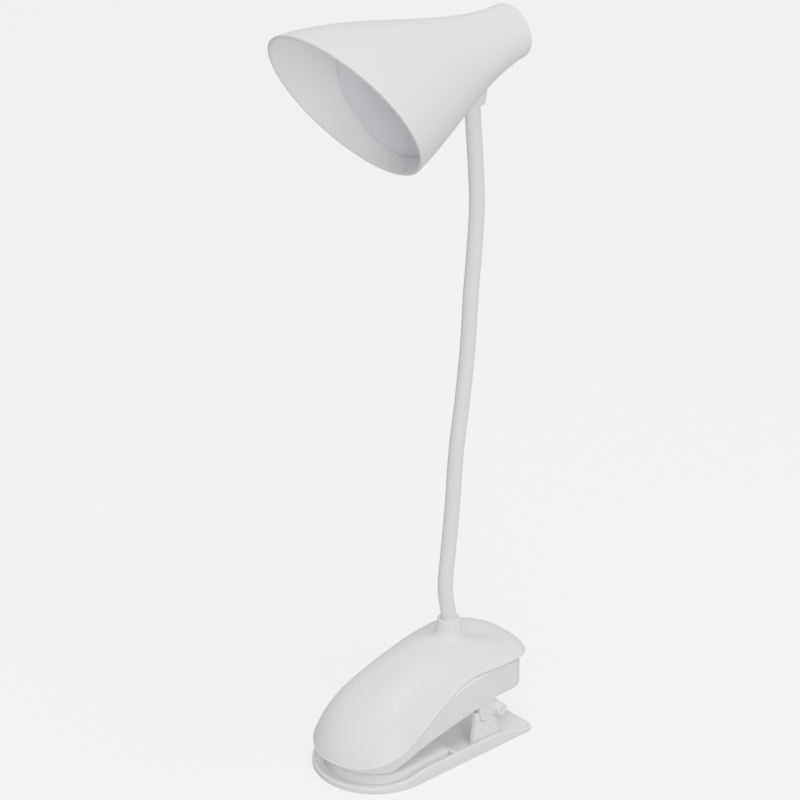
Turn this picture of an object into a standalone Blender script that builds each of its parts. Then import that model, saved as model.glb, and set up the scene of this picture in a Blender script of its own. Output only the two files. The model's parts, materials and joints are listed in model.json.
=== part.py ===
"""Clip-on reading lamp: a sprung clip whose upper jaw holds the cell and switch, a flexible
neck in a silicone sleeve, and a bell-shaped shade with a recessed diffuser.

Metres, +Z up. The origin is the middle of the flat underside of the lower jaw's tray. The
clip's mouth opens towards -Y, its press end is at +Y, and X = 0 is the plane of symmetry.
"""

import math

import bmesh
import bpy
from mathutils import Matrix, Vector

for old in list(bpy.data.objects):
    bpy.data.objects.remove(old, do_unlink=True)

# Driving dimensions, in metres and degrees.
GAP = 0.0003  # between pieces that touch
CLIP_WIDTH = 0.0658  # of the tray and of the shell

TRAY_FRONT_Y = -0.0600
TRAY_REAR_Y = 0.0569
TRAY_CORNER = 0.0055
TRAY_WALL = 0.0018
TRAY_FLOOR = 0.0022
RIM_HEIGHT = 0.0078
RIM_DROP_FRONT = 0.0042
RIM_DROP_FRONT_Y = (-0.016, -0.050)  # where the rim starts to dip towards the nose, and where it is down
RIM_DROP_REAR = 0.0056
RIM_DROP_START_Y = 0.026
GROOVE = 0.0045  # between the tray's rim and the grip pad

PAD_TOP = 0.0077
PAD_REAR_Y = 0.0005
RIB_THICK = 0.0016
RIB_HEIGHT = 0.0066
RIB_GAP = 0.0020

LIP_Z = 0.0092  # underside of the upper jaw's lip
LIP_END_Y = -0.037
UPPER_PAD_THICK = 0.0012

SHELL_FRONT_Y = -0.0606
SHELL_REAR_Y = 0.0655
SHELL_TAIL_RADIUS = 0.026
SHELL_WALL = 0.0020
FORM_FRONT_Z = 0.0112  # the level where the dome's form stands upright, at the nose
FORM_REAR_Z = 0.0414
FORM_RISE_END_Y = 0.045
EDGE_FRONT_Z = 0.0134  # the shell's lower edge, cut across that form
EDGE_REAR_Z = 0.0448
EDGE_RISE_END_Y = 0.0234
EDGE_TAIL_DROP = 0.0032
EDGE_TAIL_Y = 0.040
CROWN_Z = 0.0568
CROWN_Y = 0.0124
CROWN_FALL_FRONT = 0.0122  # the crown line drops this far in CROWN_FALL_LENGTH
CROWN_FALL_REAR = 0.0086
CROWN_FALL_LENGTH = 0.040
SPINE_FRONT_INSET = 0.0241
SPINE_REAR_INSET = 0.0163
DISH_DEPTH = 0.0030
DISH_RADIUS = 0.0130
SHOULDER = 1.43  # exponent of height in the dome's section: 2 is an ellipse, less is leaner

CASING_INSET = 0.0049
CASING_REAR_INSET = 0.0105
CASING_CORNER = 0.010
CASING_WALL = 0.0018
TUCK = 0.0010  # how far the casing's edge stands up inside the shell
STEP_DROP = 0.0016  # from the shell's edge down to the casing's outer wall
BELLY_REAR_Z = 0.0268
BELLY_REAR_Y = 0.034
BELLY_BEND = 0.62

HINGE_Y = 0.0351
HINGE_Z = 0.0197
SLEEVE_RADIUS = 0.0033
PIN_RADIUS = 0.0014
HINGE_INSET = 0.0001  # from the tray's side to the cap's face
CAP_THICK = 0.0022
LUG_THICK = 0.0032
LUG_OUTER = 0.0177  # the far side of each lug from the middle of the lamp
LUG_RING = 0.0021  # wall round the hinge sleeve
EAR_THICK = 0.0030
LOBE_Z = 0.0196
LOBE_RADIUS = 0.0046
TOWER_REACH = 0.0100  # from the lobe's middle forward to the tower's foot
TOWER_TAPER = 0.0022
TOWER_TOP_Z = 0.0216
TOWER_FOOT = 0.0192
SADDLE_WALL = 0.0014
TOWER_SHOULDER = 0.0012  # below the hinge sleeve
LUG_FOOT = 0.0012  # how much wider each lug is at the floor
WIRE_RADIUS = 0.00065
SPRING_TURNS = 6
SPRING_WIDTH = 0.0195

COLLAR_Y = 0.0246
COLLAR_TOP_Z = 0.0664
COLLAR_TOP_RADIUS = 0.0062
COLLAR_BASE_RADIUS = 0.0070
COLLAR_HEIGHT = 0.0107
COLLAR_FILLET = 0.0030

NECK_RADIUS = 0.0041
NECK_BORE = 0.0029
CORE_BORE = 0.0012
NECK_RISE = 0.2866
NECK_LINKS = 8
LINK_GAP = 0.0020
# Share of the rise, and how far the centre line stands behind the collar's axis there.
NECK_SWAY = (
    (0.0, 0.0), (0.065, -0.0028), (0.14, -0.0008), (0.237, 0.0020), (0.335, 0.0042),
    (0.434, 0.0083), (0.537, 0.0117), (0.631, 0.0134), (0.72, 0.0157), (0.80, 0.0171),
    (0.868, 0.0162), (0.947, 0.0144), (1.0, 0.0133),
)

NUT_ACROSS = 0.0130

SHADE_LENGTH = 0.1282
SHADE_TILT = 8.2
TAIL_RADIUS = 0.0146
MOUTH_RADIUS = 0.0437
MOUTH_WIDENING = 0.20  # the mouth's extra half width, as a share
MOUTH_LIFT = 0.0043
FLARE_BEND = 0.93
SHADE_WALL = 0.0018
MOUTH_SLANT = 30.2  # the mouth's plane leans this far below square
MOUTH_SHARE = 0.840  # where that plane crosses the axis
TAIL_ROUND = 0.0012
SOCKET_SHARE = 0.2096
SOCKET_DROP = 0.0266
SOCKET_RADIUS = 0.0074
DIFFUSER_SHARE = 0.64
DIFFUSER_THICK = 0.0016
DIFFUSER_DOME = 0.0050
BOARD_THICK = 0.0016
BOARD_RADIUS = 0.022
LED_COUNT = 12
LED_SIZE = 0.0028

CELL_RADIUS = 0.0090
CELL_LENGTH = 0.050
CELL_TILT = 12.0
CELL_Y = -0.006
CELL_Z = 0.0315

BUTTON_Y = 0.0435
BUTTON_RADIUS = 0.0062
BUTTON_TILT = 16.0
BUTTON_DEPTH = 0.0032
BUTTON_TRAVEL = 0.0008
BOARD_DEPTH = 0.0118  # from the button's face to the circuit board
SCREW_RADIUS = 0.0014
SCREW_HEAD = 0.0026
SCREW_X = 0.0185
SCREW_YS = (-0.012, 0.0455)

HALF_CLIP = CLIP_WIDTH / 2
HALF_CASING = HALF_CLIP - CASING_INSET
HALF_HINGE = HALF_CLIP - HINGE_INSET - CAP_THICK
LOBE_Y = HINGE_Y - SLEEVE_RADIUS - 2 * GAP - LOBE_RADIUS
TOWER_FRONT_Y = LOBE_Y - TOWER_REACH
CASING_FRONT_Y = SHELL_FRONT_Y + CASING_INSET
CASING_REAR_Y = SHELL_REAR_Y - CASING_REAR_INSET
BORE_RADIUS = SLEEVE_RADIUS + GAP


# Materials.

def material(name, colour, roughness, metallic=0.0):
    made = bpy.data.materials.new(name)
    made.use_nodes = True
    shader = made.node_tree.nodes["Principled BSDF"]
    shader.inputs["Base Color"].default_value = (*colour, 1.0)
    shader.inputs["Roughness"].default_value = roughness
    shader.inputs["Metallic"].default_value = metallic
    return made


def shared_materials():
    return {
        "shell": material("white_abs", (0.80, 0.79, 0.80), 0.42),
        "silicone": material("neck_silicone", (0.74, 0.74, 0.74), 0.60),
        "pad": material("pad_silicone", (0.72, 0.70, 0.73), 0.70),
        "opal": material("opal_diffuser", (0.78, 0.78, 0.86), 0.35),
        "steel": material("spring_steel", (0.55, 0.55, 0.56), 0.30, 1.0),
        "brass": material("plated_brass", (0.66, 0.62, 0.50), 0.35, 1.0),
        "board": material("white_board", (0.70, 0.72, 0.70), 0.45),
        "cell": material("cell_wrap", (0.20, 0.36, 0.55), 0.50),
        "lead": material("lead_sleeve", (0.55, 0.08, 0.07), 0.55),
    }


MATERIALS = shared_materials()


# Mesh building.

def add_object(name, mesh_data, finish, place=None, sharp=38.0):
    """An object made from a bmesh, its faces turned outwards and its round parts smooth."""
    bmesh.ops.remove_doubles(mesh_data, verts=mesh_data.verts, dist=1e-7)
    bmesh.ops.recalc_face_normals(mesh_data, faces=mesh_data.faces)
    mesh = bpy.data.meshes.new(name)
    mesh_data.to_mesh(mesh)
    mesh_data.free()
    mesh.shade_smooth()
    mesh.set_sharp_from_angle(angle=math.radians(sharp))
    if finish:
        mesh.materials.append(MATERIALS[finish])
    made = bpy.data.objects.new(name, mesh)
    bpy.context.scene.collection.objects.link(made)
    if place is not None:
        made.matrix_world = place
    return made


def helper(made):
    """Marks an object as a tool for Booleans, which is never part of the lamp."""
    made.hide_render = True
    made.display_type = "WIRE"
    return made


def boolean(target, tool, operation):
    step = target.modifiers.new(f"{operation.lower()}_{tool.name}", "BOOLEAN")
    step.operation = operation
    step.solver = "EXACT"
    step.object = helper(tool)
    return target


def skin_rings(mesh_data, rings, closed=False):
    """Quads between neighbouring rings. Each ring is a list of vertices."""
    pairs = zip(rings, rings[1:] + rings[:1]) if closed else zip(rings, rings[1:])
    for low, high in pairs:
        count = len(low)
        for i in range(count):
            j = (i + 1) % count
            mesh_data.faces.new((low[i], low[j], high[j], high[i]))


def cap_across(mesh_data, ring):
    """Closes a ring that is mirrored about X = 0 with strips that run from side to side."""
    count = len(ring)
    mesh_data.faces.new((ring[0], ring[1], ring[-1]))
    for i in range(1, count // 2):
        mesh_data.faces.new((ring[i], ring[i + 1], ring[count - i - 1], ring[count - i]))


def add_ring(mesh_data, points):
    return [mesh_data.verts.new(point) for point in points]


def stacked(name, rings, finish):
    """A solid whose mirrored rings are skinned in turn, its first and last ring capped."""
    mesh_data = bmesh.new()
    made = [add_ring(mesh_data, ring) for ring in rings]
    skin_rings(mesh_data, made)
    cap_across(mesh_data, made[0])
    cap_across(mesh_data, made[-1])
    return add_object(name, mesh_data, finish)


def turned(name, profile, finish, place=None, steps=24):
    """Spins (radius, height) points about Z. An outline that leaves the axis is a ring."""
    mesh_data = bmesh.new()
    rings = []
    for radius, height in profile:
        if radius == 0:
            rings.append([mesh_data.verts.new((0, 0, height))])
            continue
        angles = [math.tau * i / steps for i in range(steps)]
        rings.append(add_ring(mesh_data, [
            (radius * math.cos(a), radius * math.sin(a), height) for a in angles
        ]))
    open_ended = len(rings[0]) == 1
    pairs = list(zip(rings, rings[1:]))
    if not open_ended:
        pairs.append((rings[-1], rings[0]))
    for low, high in pairs:
        for i in range(steps):
            j = (i + 1) % steps
            corners = [low[i % len(low)], low[j % len(low)], high[j % len(high)], high[i % len(high)]]
            mesh_data.faces.new(dict.fromkeys(corners))
    return add_object(name, mesh_data, finish, place)


def prism(name, outline, x_low, x_high, finish):
    """An outline of (y, z) points pushed along X."""
    mesh_data = bmesh.new()
    near = add_ring(mesh_data, [(x_low, y, z) for y, z in outline])
    far = add_ring(mesh_data, [(x_high, y, z) for y, z in outline])
    skin_rings(mesh_data, [near, far])
    mesh_data.faces.new(near)
    mesh_data.faces.new(far)
    return add_object(name, mesh_data, finish)


def hex_nut(name, bore, across, low, high, finish, place):
    """A nut: a round bore in a hexagon of a given width across its flats."""
    mesh_data = bmesh.new()
    steps = 24
    rings = []
    for outside, height in ((False, low), (True, low), (True, high), (False, high)):
        ring = []
        for i in range(steps):
            a = math.tau * i / steps
            flat = across / 2 / math.cos(a % (math.pi / 3) - math.pi / 6)
            radius = flat if outside else bore
            ring.append((radius * math.cos(a), radius * math.sin(a), height))
        rings.append(add_ring(mesh_data, ring))
    skin_rings(mesh_data, rings, closed=True)
    return add_object(name, mesh_data, finish, place)


def block(name, low, high, finish, place=None):
    mesh_data = bmesh.new()
    bmesh.ops.create_cube(mesh_data, size=1.0)
    middle = (Vector(low) + Vector(high)) / 2
    size = Vector(high) - Vector(low)
    for vertex in mesh_data.verts:
        vertex.co = Vector(a * b for a, b in zip(vertex.co, size)) + middle
    return add_object(name, mesh_data, finish, place)


def arc(centre, radius, start, end, steps):
    """(y, z) points on a circle, from one angle in degrees to another."""
    angles = [math.radians(start + (end - start) * i / steps) for i in range(steps + 1)]
    return [(centre[0] + radius * math.cos(a), centre[1] + radius * math.sin(a)) for a in angles]


def joined(name, objects, finish):
    """Separate closed shapes in one mesh, used only as a Boolean tool."""
    mesh_data = bmesh.new()
    for source in objects:
        start = len(mesh_data.verts)
        mesh_data.from_mesh(source.data)
        mesh_data.verts.ensure_lookup_table()
        for vertex in mesh_data.verts[start:]:
            vertex.co = source.matrix_world @ vertex.co
        bpy.data.objects.remove(source, do_unlink=True)
    return add_object(name, mesh_data, finish)


def pivot(name, location, parent=None):
    """An empty on a joint's axis, which carries the pieces that turn or slide there."""
    made = bpy.data.objects.new(name, None)
    bpy.context.scene.collection.objects.link(made)
    made.matrix_world = Matrix.Translation(location)
    if parent:
        hang(parent, made)
    return made


def hang(parent, *pieces):
    bpy.context.view_layer.update()
    for piece in pieces:
        piece.parent = parent
        piece.matrix_parent_inverse = parent.matrix_world.inverted()


def frame_along(point, direction, side=Vector((1, 0, 0))):
    """A placement whose Z axis runs along the direction."""
    z = direction.normalized()
    y = z.cross(side).normalized()
    x = y.cross(z)
    turn = Matrix((x, y, z)).transposed().to_4x4()
    return Matrix.Translation(point) @ turn


def smooth(share):
    share = min(1.0, max(0.0, share))
    return share * share * (3 - 2 * share)


# Plan outlines. Each starts at the front's middle and goes round by +X, mirrored about X = 0.

ARC_STEPS = 9
SIDE_STEPS = 9
CORNER_STEPS = 6


def plan_outline(half_width, front_y, rear_y, corner, inset=0.0):
    """A round nose, straight sides and a rear with round corners, as (x, y) points."""
    nose_y = front_y + half_width
    right = []
    for i in range(ARC_STEPS + 1):
        a = math.radians(-90 + 90 * i / ARC_STEPS)
        r = half_width - inset
        right.append((r * math.cos(a), nose_y + r * math.sin(a)))
    side_end = rear_y - corner
    for i in range(1, SIDE_STEPS):
        right.append((half_width - inset, nose_y + (side_end - nose_y) * i / SIDE_STEPS))
    r = max(corner - inset, 0.0004)
    centre_x = half_width - inset - r
    centre_y = rear_y - inset - r
    for i in range(CORNER_STEPS + 1):
        a = math.radians(90 * i / CORNER_STEPS)
        right.append((centre_x + r * math.cos(a), centre_y + r * math.sin(a)))
    right[0] = (0.0, front_y + inset)
    left = [(-x, y) for x, y in reversed(right[1:])]
    return right + left


def tray_outline(inset):
    return plan_outline(HALF_CLIP, TRAY_FRONT_Y, TRAY_REAR_Y, TRAY_CORNER, inset)


def shell_outline(inset):
    return plan_outline(HALF_CLIP, SHELL_FRONT_Y, SHELL_REAR_Y, SHELL_TAIL_RADIUS, inset)


def casing_outline(inset):
    return plan_outline(HALF_CASING, CASING_FRONT_Y, CASING_REAR_Y, CASING_CORNER, inset)


def at_height(outline, height):
    """Lifts an outline to a height, given as a number or as a function of y."""
    level = height if callable(height) else lambda y: height
    return [(x, y, level(y)) for x, y in outline]


def form_z(y):
    """The level where the body's form stands upright: low at the nose, high at the press end."""
    share = (y - SHELL_FRONT_Y) / (FORM_RISE_END_Y - SHELL_FRONT_Y)
    return FORM_FRONT_Z + (FORM_REAR_Z - FORM_FRONT_Z) * smooth(share)


def edge_z(y):
    """The shell's lower edge: it climbs in an S from the nose and dips again at the press end."""
    share = (y - SHELL_FRONT_Y) / (EDGE_RISE_END_Y - SHELL_FRONT_Y)
    tail = smooth((y - EDGE_TAIL_Y) / (SHELL_REAR_Y - EDGE_TAIL_Y))
    return EDGE_FRONT_Z + (EDGE_REAR_Z - EDGE_FRONT_Z) * smooth(share) - EDGE_TAIL_DROP * tail


def crown_z(y):
    fall = CROWN_FALL_FRONT if y < CROWN_Y else CROWN_FALL_REAR
    return CROWN_Z - fall * ((y - CROWN_Y) / CROWN_FALL_LENGTH) ** 2


def dish(x, y):
    """How far the thumb dish behind the collar lowers the surface."""
    away = (x * x + (y - BUTTON_Y) ** 2) / DISH_RADIUS ** 2
    return DISH_DEPTH * math.exp(-away)


def belly_z(y):
    """The upper jaw's underside: a level lip, then a throat that rises to the hinge."""
    share = min(1.0, max(0.0, (y - LIP_END_Y) / (BELLY_REAR_Y - LIP_END_Y)))
    return LIP_Z + (BELLY_REAR_Z - LIP_Z) * share ** BELLY_BEND


# Lower jaw.

def rim_z(y):
    start, end = RIM_DROP_FRONT_Y
    front = smooth((start - y) / (start - end))
    rear = smooth((y - RIM_DROP_START_Y) / (TRAY_REAR_Y - RIM_DROP_START_Y))
    return RIM_HEIGHT - RIM_DROP_FRONT * front - RIM_DROP_REAR * rear


def tower_outline():
    """A tapered upright with a round saddle under the casing's lobe and a shoulder at the pin."""
    saddle = arc((LOBE_Y, LOBE_Z), LOBE_RADIUS + 2 * GAP, 196, 318, 9)
    shoulder = HINGE_Z - SLEEVE_RADIUS - TOWER_SHOULDER
    return [
        (TOWER_FRONT_Y, TRAY_FLOOR / 2), (TOWER_FRONT_Y + TOWER_TAPER, TOWER_TOP_Z),
        (LOBE_Y - LOBE_RADIUS - SADDLE_WALL, TOWER_TOP_Z), *saddle,
        (HINGE_Y - 0.0034, shoulder), (HINGE_Y - 0.0016, shoulder - 0.0006),
        (TOWER_FRONT_Y + TOWER_FOOT, TRAY_FLOOR / 2),
    ]


def lug_outline():
    reach = BORE_RADIUS + LUG_RING
    foot = reach + LUG_FOOT
    return [
        (HINGE_Y - foot, TRAY_FLOOR / 2),
        *reversed(arc((HINGE_Y, HINGE_Z), reach, 0, 180, 10)),
        (HINGE_Y + foot, TRAY_FLOOR / 2),
    ]


def x_cylinder(name, y, z, radius, x_low, x_high, finish=None, steps=24):
    place = frame_along(Vector((x_low, y, z)), Vector((1, 0, 0)), Vector((0, 0, 1)))
    profile = ((0, 0), (radius, 0), (radius, x_high - x_low), (0, x_high - x_low))
    return turned(name, profile, finish, place, steps)


EAR_OUTER = HALF_CASING - GAP
EAR_INNER = EAR_OUTER - EAR_THICK
LUG_INNER = LUG_OUTER - LUG_THICK
HOOK_OUTER = LUG_INNER - GAP
HOOK_INNER = HOOK_OUTER - EAR_THICK


def build_tray():
    wall = TRAY_WALL
    tray = stacked("lower_tray", [
        at_height(tray_outline(0.0011), 0.0),
        at_height(tray_outline(0.0003), 0.0004),
        at_height(tray_outline(0.0), 0.0012),
        at_height(tray_outline(0.0), lambda y: rim_z(y) - 0.0004),
        at_height(tray_outline(0.0004), rim_z),
        at_height(tray_outline(wall - 0.0003), rim_z),
        at_height(tray_outline(wall), lambda y: rim_z(y) - 0.0004),
        at_height(tray_outline(wall), TRAY_FLOOR),
    ], "shell")
    for side in (-1, 1):
        label = "right" if side > 0 else "left"
        tower_x = sorted((side * (EAR_OUTER - 0.0001), side * (EAR_INNER + 0.0001)))
        lug_x = sorted((side * LUG_OUTER, side * LUG_INNER))
        boolean(tray, prism(f"tower_{label}", tower_outline(), *tower_x, None), "UNION")
        boolean(tray, prism(f"lug_{label}", lug_outline(), *lug_x, None), "UNION")
    rib_y = PAD_REAR_Y + RIB_GAP
    rib = block(
        "cross_rib", (-HALF_CLIP + wall / 2, rib_y, TRAY_FLOOR / 2),
        (HALF_CLIP - wall / 2, rib_y + RIB_THICK, RIB_HEIGHT - 0.001), None,
    )
    boolean(tray, rib, "UNION")
    bore = x_cylinder("lug_bore", HINGE_Y, HINGE_Z, BORE_RADIUS, -LUG_OUTER - 0.0005, LUG_OUTER + 0.0005)
    return boolean(tray, bore, "DIFFERENCE")


def pad_outline(inset):
    return plan_outline(HALF_CLIP, TRAY_FRONT_Y, PAD_REAR_Y + inset, inset + 0.0012, inset)


def build_lower_pad():
    inset = TRAY_WALL + GROOVE
    base = TRAY_FLOOR + GAP
    return stacked("lower_grip_pad", [
        at_height(pad_outline(inset), base),
        at_height(pad_outline(inset), PAD_TOP - 0.0008),
        at_height(pad_outline(inset + 0.0008), PAD_TOP),
    ], "pad")


# Hinge and spring.

def build_hinge():
    half = HALF_HINGE
    inner = half - CAP_THICK
    pin = x_cylinder("hinge_pin", HINGE_Y, HINGE_Z, PIN_RADIUS, -half + 0.0008, half - 0.0008, "steel", 16)
    place = frame_along(Vector((-inner, HINGE_Y, HINGE_Z)), Vector((1, 0, 0)), Vector((0, 0, 1)))
    bore = PIN_RADIUS + GAP
    length = 2 * inner
    sleeve = turned("hinge_sleeve", (
        (bore, 0), (SLEEVE_RADIUS, 0), (SLEEVE_RADIUS, length), (bore, length),
    ), "shell", place)
    pieces = [pin, sleeve]
    for side, label in ((-1, "left"), (1, "right")):
        seat = Vector((side * (inner + GAP), HINGE_Y, HINGE_Z))
        deep = CAP_THICK - GAP - 0.0006
        facing = frame_along(seat, Vector((side, 0, 0)), Vector((0, 0, 1)))
        pieces.append(turned(f"pin_cap_{label}", cap_profile(bore, deep), "shell", facing))
    return pieces


def cap_profile(bore, deep):
    """A disc with a rounded face and a blind hole that takes the end of the pin."""
    thick = CAP_THICK - GAP
    return (
        (0, deep), (bore, deep), (bore, 0), (SLEEVE_RADIUS, 0),
        (SLEEVE_RADIUS, thick - 0.0004), (SLEEVE_RADIUS - 0.0004, thick), (0, thick),
    )


def spring_path():
    """A coil round the sleeve with a leg from each end back along the tray and the casing."""
    mean = SLEEVE_RADIUS + GAP + 0.0006 + WIRE_RADIUS
    steps = 12 * SPRING_TURNS
    half = SPRING_WIDTH / 2
    start, end = math.radians(270), math.radians(90)
    sweep = math.tau * SPRING_TURNS + (start - end) % math.tau
    floor = TRAY_FLOOR + WIRE_RADIUS + GAP
    points = [(half, HINGE_Y + 0.017, floor), (half, HINGE_Y + 0.010, floor + 0.0008)]
    for i in range(steps + 1):
        a = start - sweep * i / steps
        x = half - SPRING_WIDTH * i / steps
        points.append((x, HINGE_Y + mean * math.cos(a), HINGE_Z + mean * math.sin(a)))
    roof = BELLY_REAR_Z - WIRE_RADIUS - GAP
    points.append((-half, HINGE_Y + 0.008, roof - 0.0006))
    points.append((-half, HINGE_Y + 0.014, roof - 0.0001))
    return points


def wire(name, points, radius, finish, sides=1):
    curve = bpy.data.curves.new(name, "CURVE")
    curve.dimensions = "3D"
    curve.bevel_depth = radius
    curve.bevel_resolution = sides
    curve.use_fill_caps = True
    spline = curve.splines.new("POLY")
    spline.points.add(len(points) - 1)
    for point, place in zip(spline.points, points):
        point.co = (*place, 1.0)
    curve.materials.append(MATERIALS[finish])
    made = bpy.data.objects.new(name, curve)
    bpy.context.scene.collection.objects.link(made)
    return made


# Upper jaw.

DOME_STEPS = 7


def spine_point(y, inset):
    """The point of the crown line that the outline's point at y leans towards."""
    share = (y - SHELL_FRONT_Y - inset) / (SHELL_REAR_Y - SHELL_FRONT_Y - 2 * inset)
    low = SHELL_FRONT_Y + SPINE_FRONT_INSET
    high = SHELL_REAR_Y - SPINE_REAR_INSET
    return low + (high - low) * share


def form_point(x, y, inset, thinner, angle):
    """A point of the body's form, an angle of 0 to a quarter turn up from the outline's point."""
    spine_y = spine_point(y, inset)
    inward = 1 - math.cos(angle)
    if angle > math.pi / 2 - 1e-6:
        inward = 1.0
    rise = math.sin(angle) ** (2 / SHOULDER)
    px = x * (1 - inward)
    py = y + (spine_y - y) * inward
    low = form_z(y)
    return px, py, low + (crown_z(spine_y) - thinner - low) * rise - dish(px, py) * rise


def form_angle(y, inset, thinner, level):
    """The angle at which the form above the outline's point at y reaches a level."""
    low = form_z(y)
    rise = (level - low) / (crown_z(spine_point(y, inset)) - thinner - low)
    return math.asin(min(1.0, max(0.0, rise)) ** (SHOULDER / 2))


def form_ring(inset, height):
    """A ring inside the shell's wall, at a height above its edge."""
    ring = []
    for x, y in shell_outline(inset):
        level = edge_z(y) + height
        angle = form_angle(y, inset, inset, max(level, form_z(y)))
        px, py, _ = form_point(x, y, inset, inset, angle)
        ring.append((px, py, level))
    return ring


def dome_rings(inset, thinner):
    """Rings from the shell's edge up to its crown line, inset and lowered for the inside."""
    rings = []
    for k in range(DOME_STEPS + 1):
        ring = []
        for x, y in shell_outline(inset):
            start = form_angle(y, inset, thinner, edge_z(y))
            angle = start + (math.pi / 2 - start) * k / DOME_STEPS
            ring.append(form_point(x, y, inset, thinner, angle))
        rings.append(ring)
    return rings


def dome_solid(name, inset, thinner, floor=0.0):
    """The whole space under the dome, down to a floor below its edge."""
    mesh_data = bmesh.new()
    rings = dome_rings(inset, thinner)
    base = [(x, y, z - floor) for x, y, z in rings[0]]
    made = [add_ring(mesh_data, ring) for ring in [base] + rings]
    cap_across(mesh_data, made[0])
    skin_rings(mesh_data, made)
    bmesh.ops.remove_doubles(mesh_data, verts=mesh_data.verts, dist=2e-6)
    return add_object(name, mesh_data, None)


def build_shell():
    mesh_data = bmesh.new()
    outer = [add_ring(mesh_data, ring) for ring in dome_rings(0.0, 0.0)]
    inner = [add_ring(mesh_data, ring) for ring in dome_rings(SHELL_WALL, SHELL_WALL)]
    skin_rings(mesh_data, list(reversed(outer)) + inner)
    bmesh.ops.remove_doubles(mesh_data, verts=mesh_data.verts, dist=2e-6)
    shell = add_object("top_shell", mesh_data, "shell", sharp=50)

    base_z = COLLAR_TOP_Z - COLLAR_HEIGHT
    sunk = base_z - 0.0010
    fillet = [
        (COLLAR_BASE_RADIUS + COLLAR_FILLET * (1 - math.sin(a)), base_z + COLLAR_FILLET * (1 - math.cos(a)))
        for a in [math.pi / 2 * i / 4 for i in range(5)]
    ]
    collar = turned("collar", (
        (0, sunk), (fillet[0][0], sunk), *fillet,
        (COLLAR_TOP_RADIUS, COLLAR_TOP_Z - 0.0005), (COLLAR_TOP_RADIUS - 0.0005, COLLAR_TOP_Z),
        (0, COLLAR_TOP_Z),
    ), None, Matrix.Translation((0, COLLAR_Y, 0)), 28)
    boolean(shell, collar, "UNION")

    post_radius = SCREW_RADIUS + 0.0018
    posts = []
    for x, y in screw_spots():
        foot = belly_z(y + post_radius) + CASING_WALL + 2 * GAP
        posts.append(turned("post", (
            (0, foot), (post_radius, foot), (post_radius, CROWN_Z), (0, CROWN_Z),
        ), None, Matrix.Translation((x, y, 0)), 14))
    posts = joined("screw_posts", posts, None)
    boolean(posts, dome_solid("dome_core", SHELL_WALL / 2, SHELL_WALL / 2, 0.040), "INTERSECT")
    boolean(shell, posts, "UNION")

    bores = [turned("bore", (
        (0, CROWN_Z - 0.015), (NECK_RADIUS + GAP, CROWN_Z - 0.015),
        (NECK_RADIUS + GAP, COLLAR_TOP_Z + 0.002), (0, COLLAR_TOP_Z + 0.002),
    ), None, Matrix.Translation((0, COLLAR_Y, 0)), 20)]
    for x, y in screw_spots():
        foot = belly_z(y)
        bores.append(turned("pilot", (
            (0, foot), (SCREW_RADIUS + GAP, foot), (SCREW_RADIUS + GAP, foot + 0.0105), (0, foot + 0.0105),
        ), None, Matrix.Translation((x, y, 0)), 10))
    hole = BUTTON_RADIUS + GAP
    bores.append(turned("button_hole", (
        (0, -0.008), (hole, -0.008), (hole, 0.006), (0, 0.006),
    ), None, button_place(), 24))
    return boolean(shell, joined("shell_bores", bores, None), "DIFFERENCE")


def button_place():
    """The middle of the button's face, Z along its travel."""
    tilt = math.radians(BUTTON_TILT)
    z = crown_z(BUTTON_Y) - DISH_DEPTH
    return frame_along(Vector((0, BUTTON_Y, z)), Vector((0, math.sin(tilt), math.cos(tilt))))


def screw_spots():
    return [(side * SCREW_X, y) for side in (-1, 1) for y in SCREW_YS]


def lobe_outline():
    """The tongue that rests in the tower's saddle."""
    front_y = LOBE_Y - LOBE_RADIUS
    rear_y = LOBE_Y + LOBE_RADIUS
    top = BELLY_REAR_Z + CASING_WALL / 2
    return [
        (front_y - 0.0006, belly_z(front_y) + CASING_WALL / 2),
        *arc((LOBE_Y, LOBE_Z), LOBE_RADIUS, 180, 360, 12),
        (rear_y + 0.0004, top), (front_y - 0.0006, top),
    ]


def hook_outline():
    """A half-round hook that hangs from the casing over the hinge sleeve."""
    reach = BORE_RADIUS + LUG_RING
    top = BELLY_REAR_Z + CASING_WALL / 2
    return [
        (HINGE_Y - reach, HINGE_Z),
        *arc((HINGE_Y, HINGE_Z), BORE_RADIUS, 180, 0, 10),
        (HINGE_Y + reach, HINGE_Z),
        (HINGE_Y + reach + 0.0016, top), (HINGE_Y - reach - 0.0016, top),
    ]


def casing_ring(inset, level):
    return at_height(casing_outline(inset), level)


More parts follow.
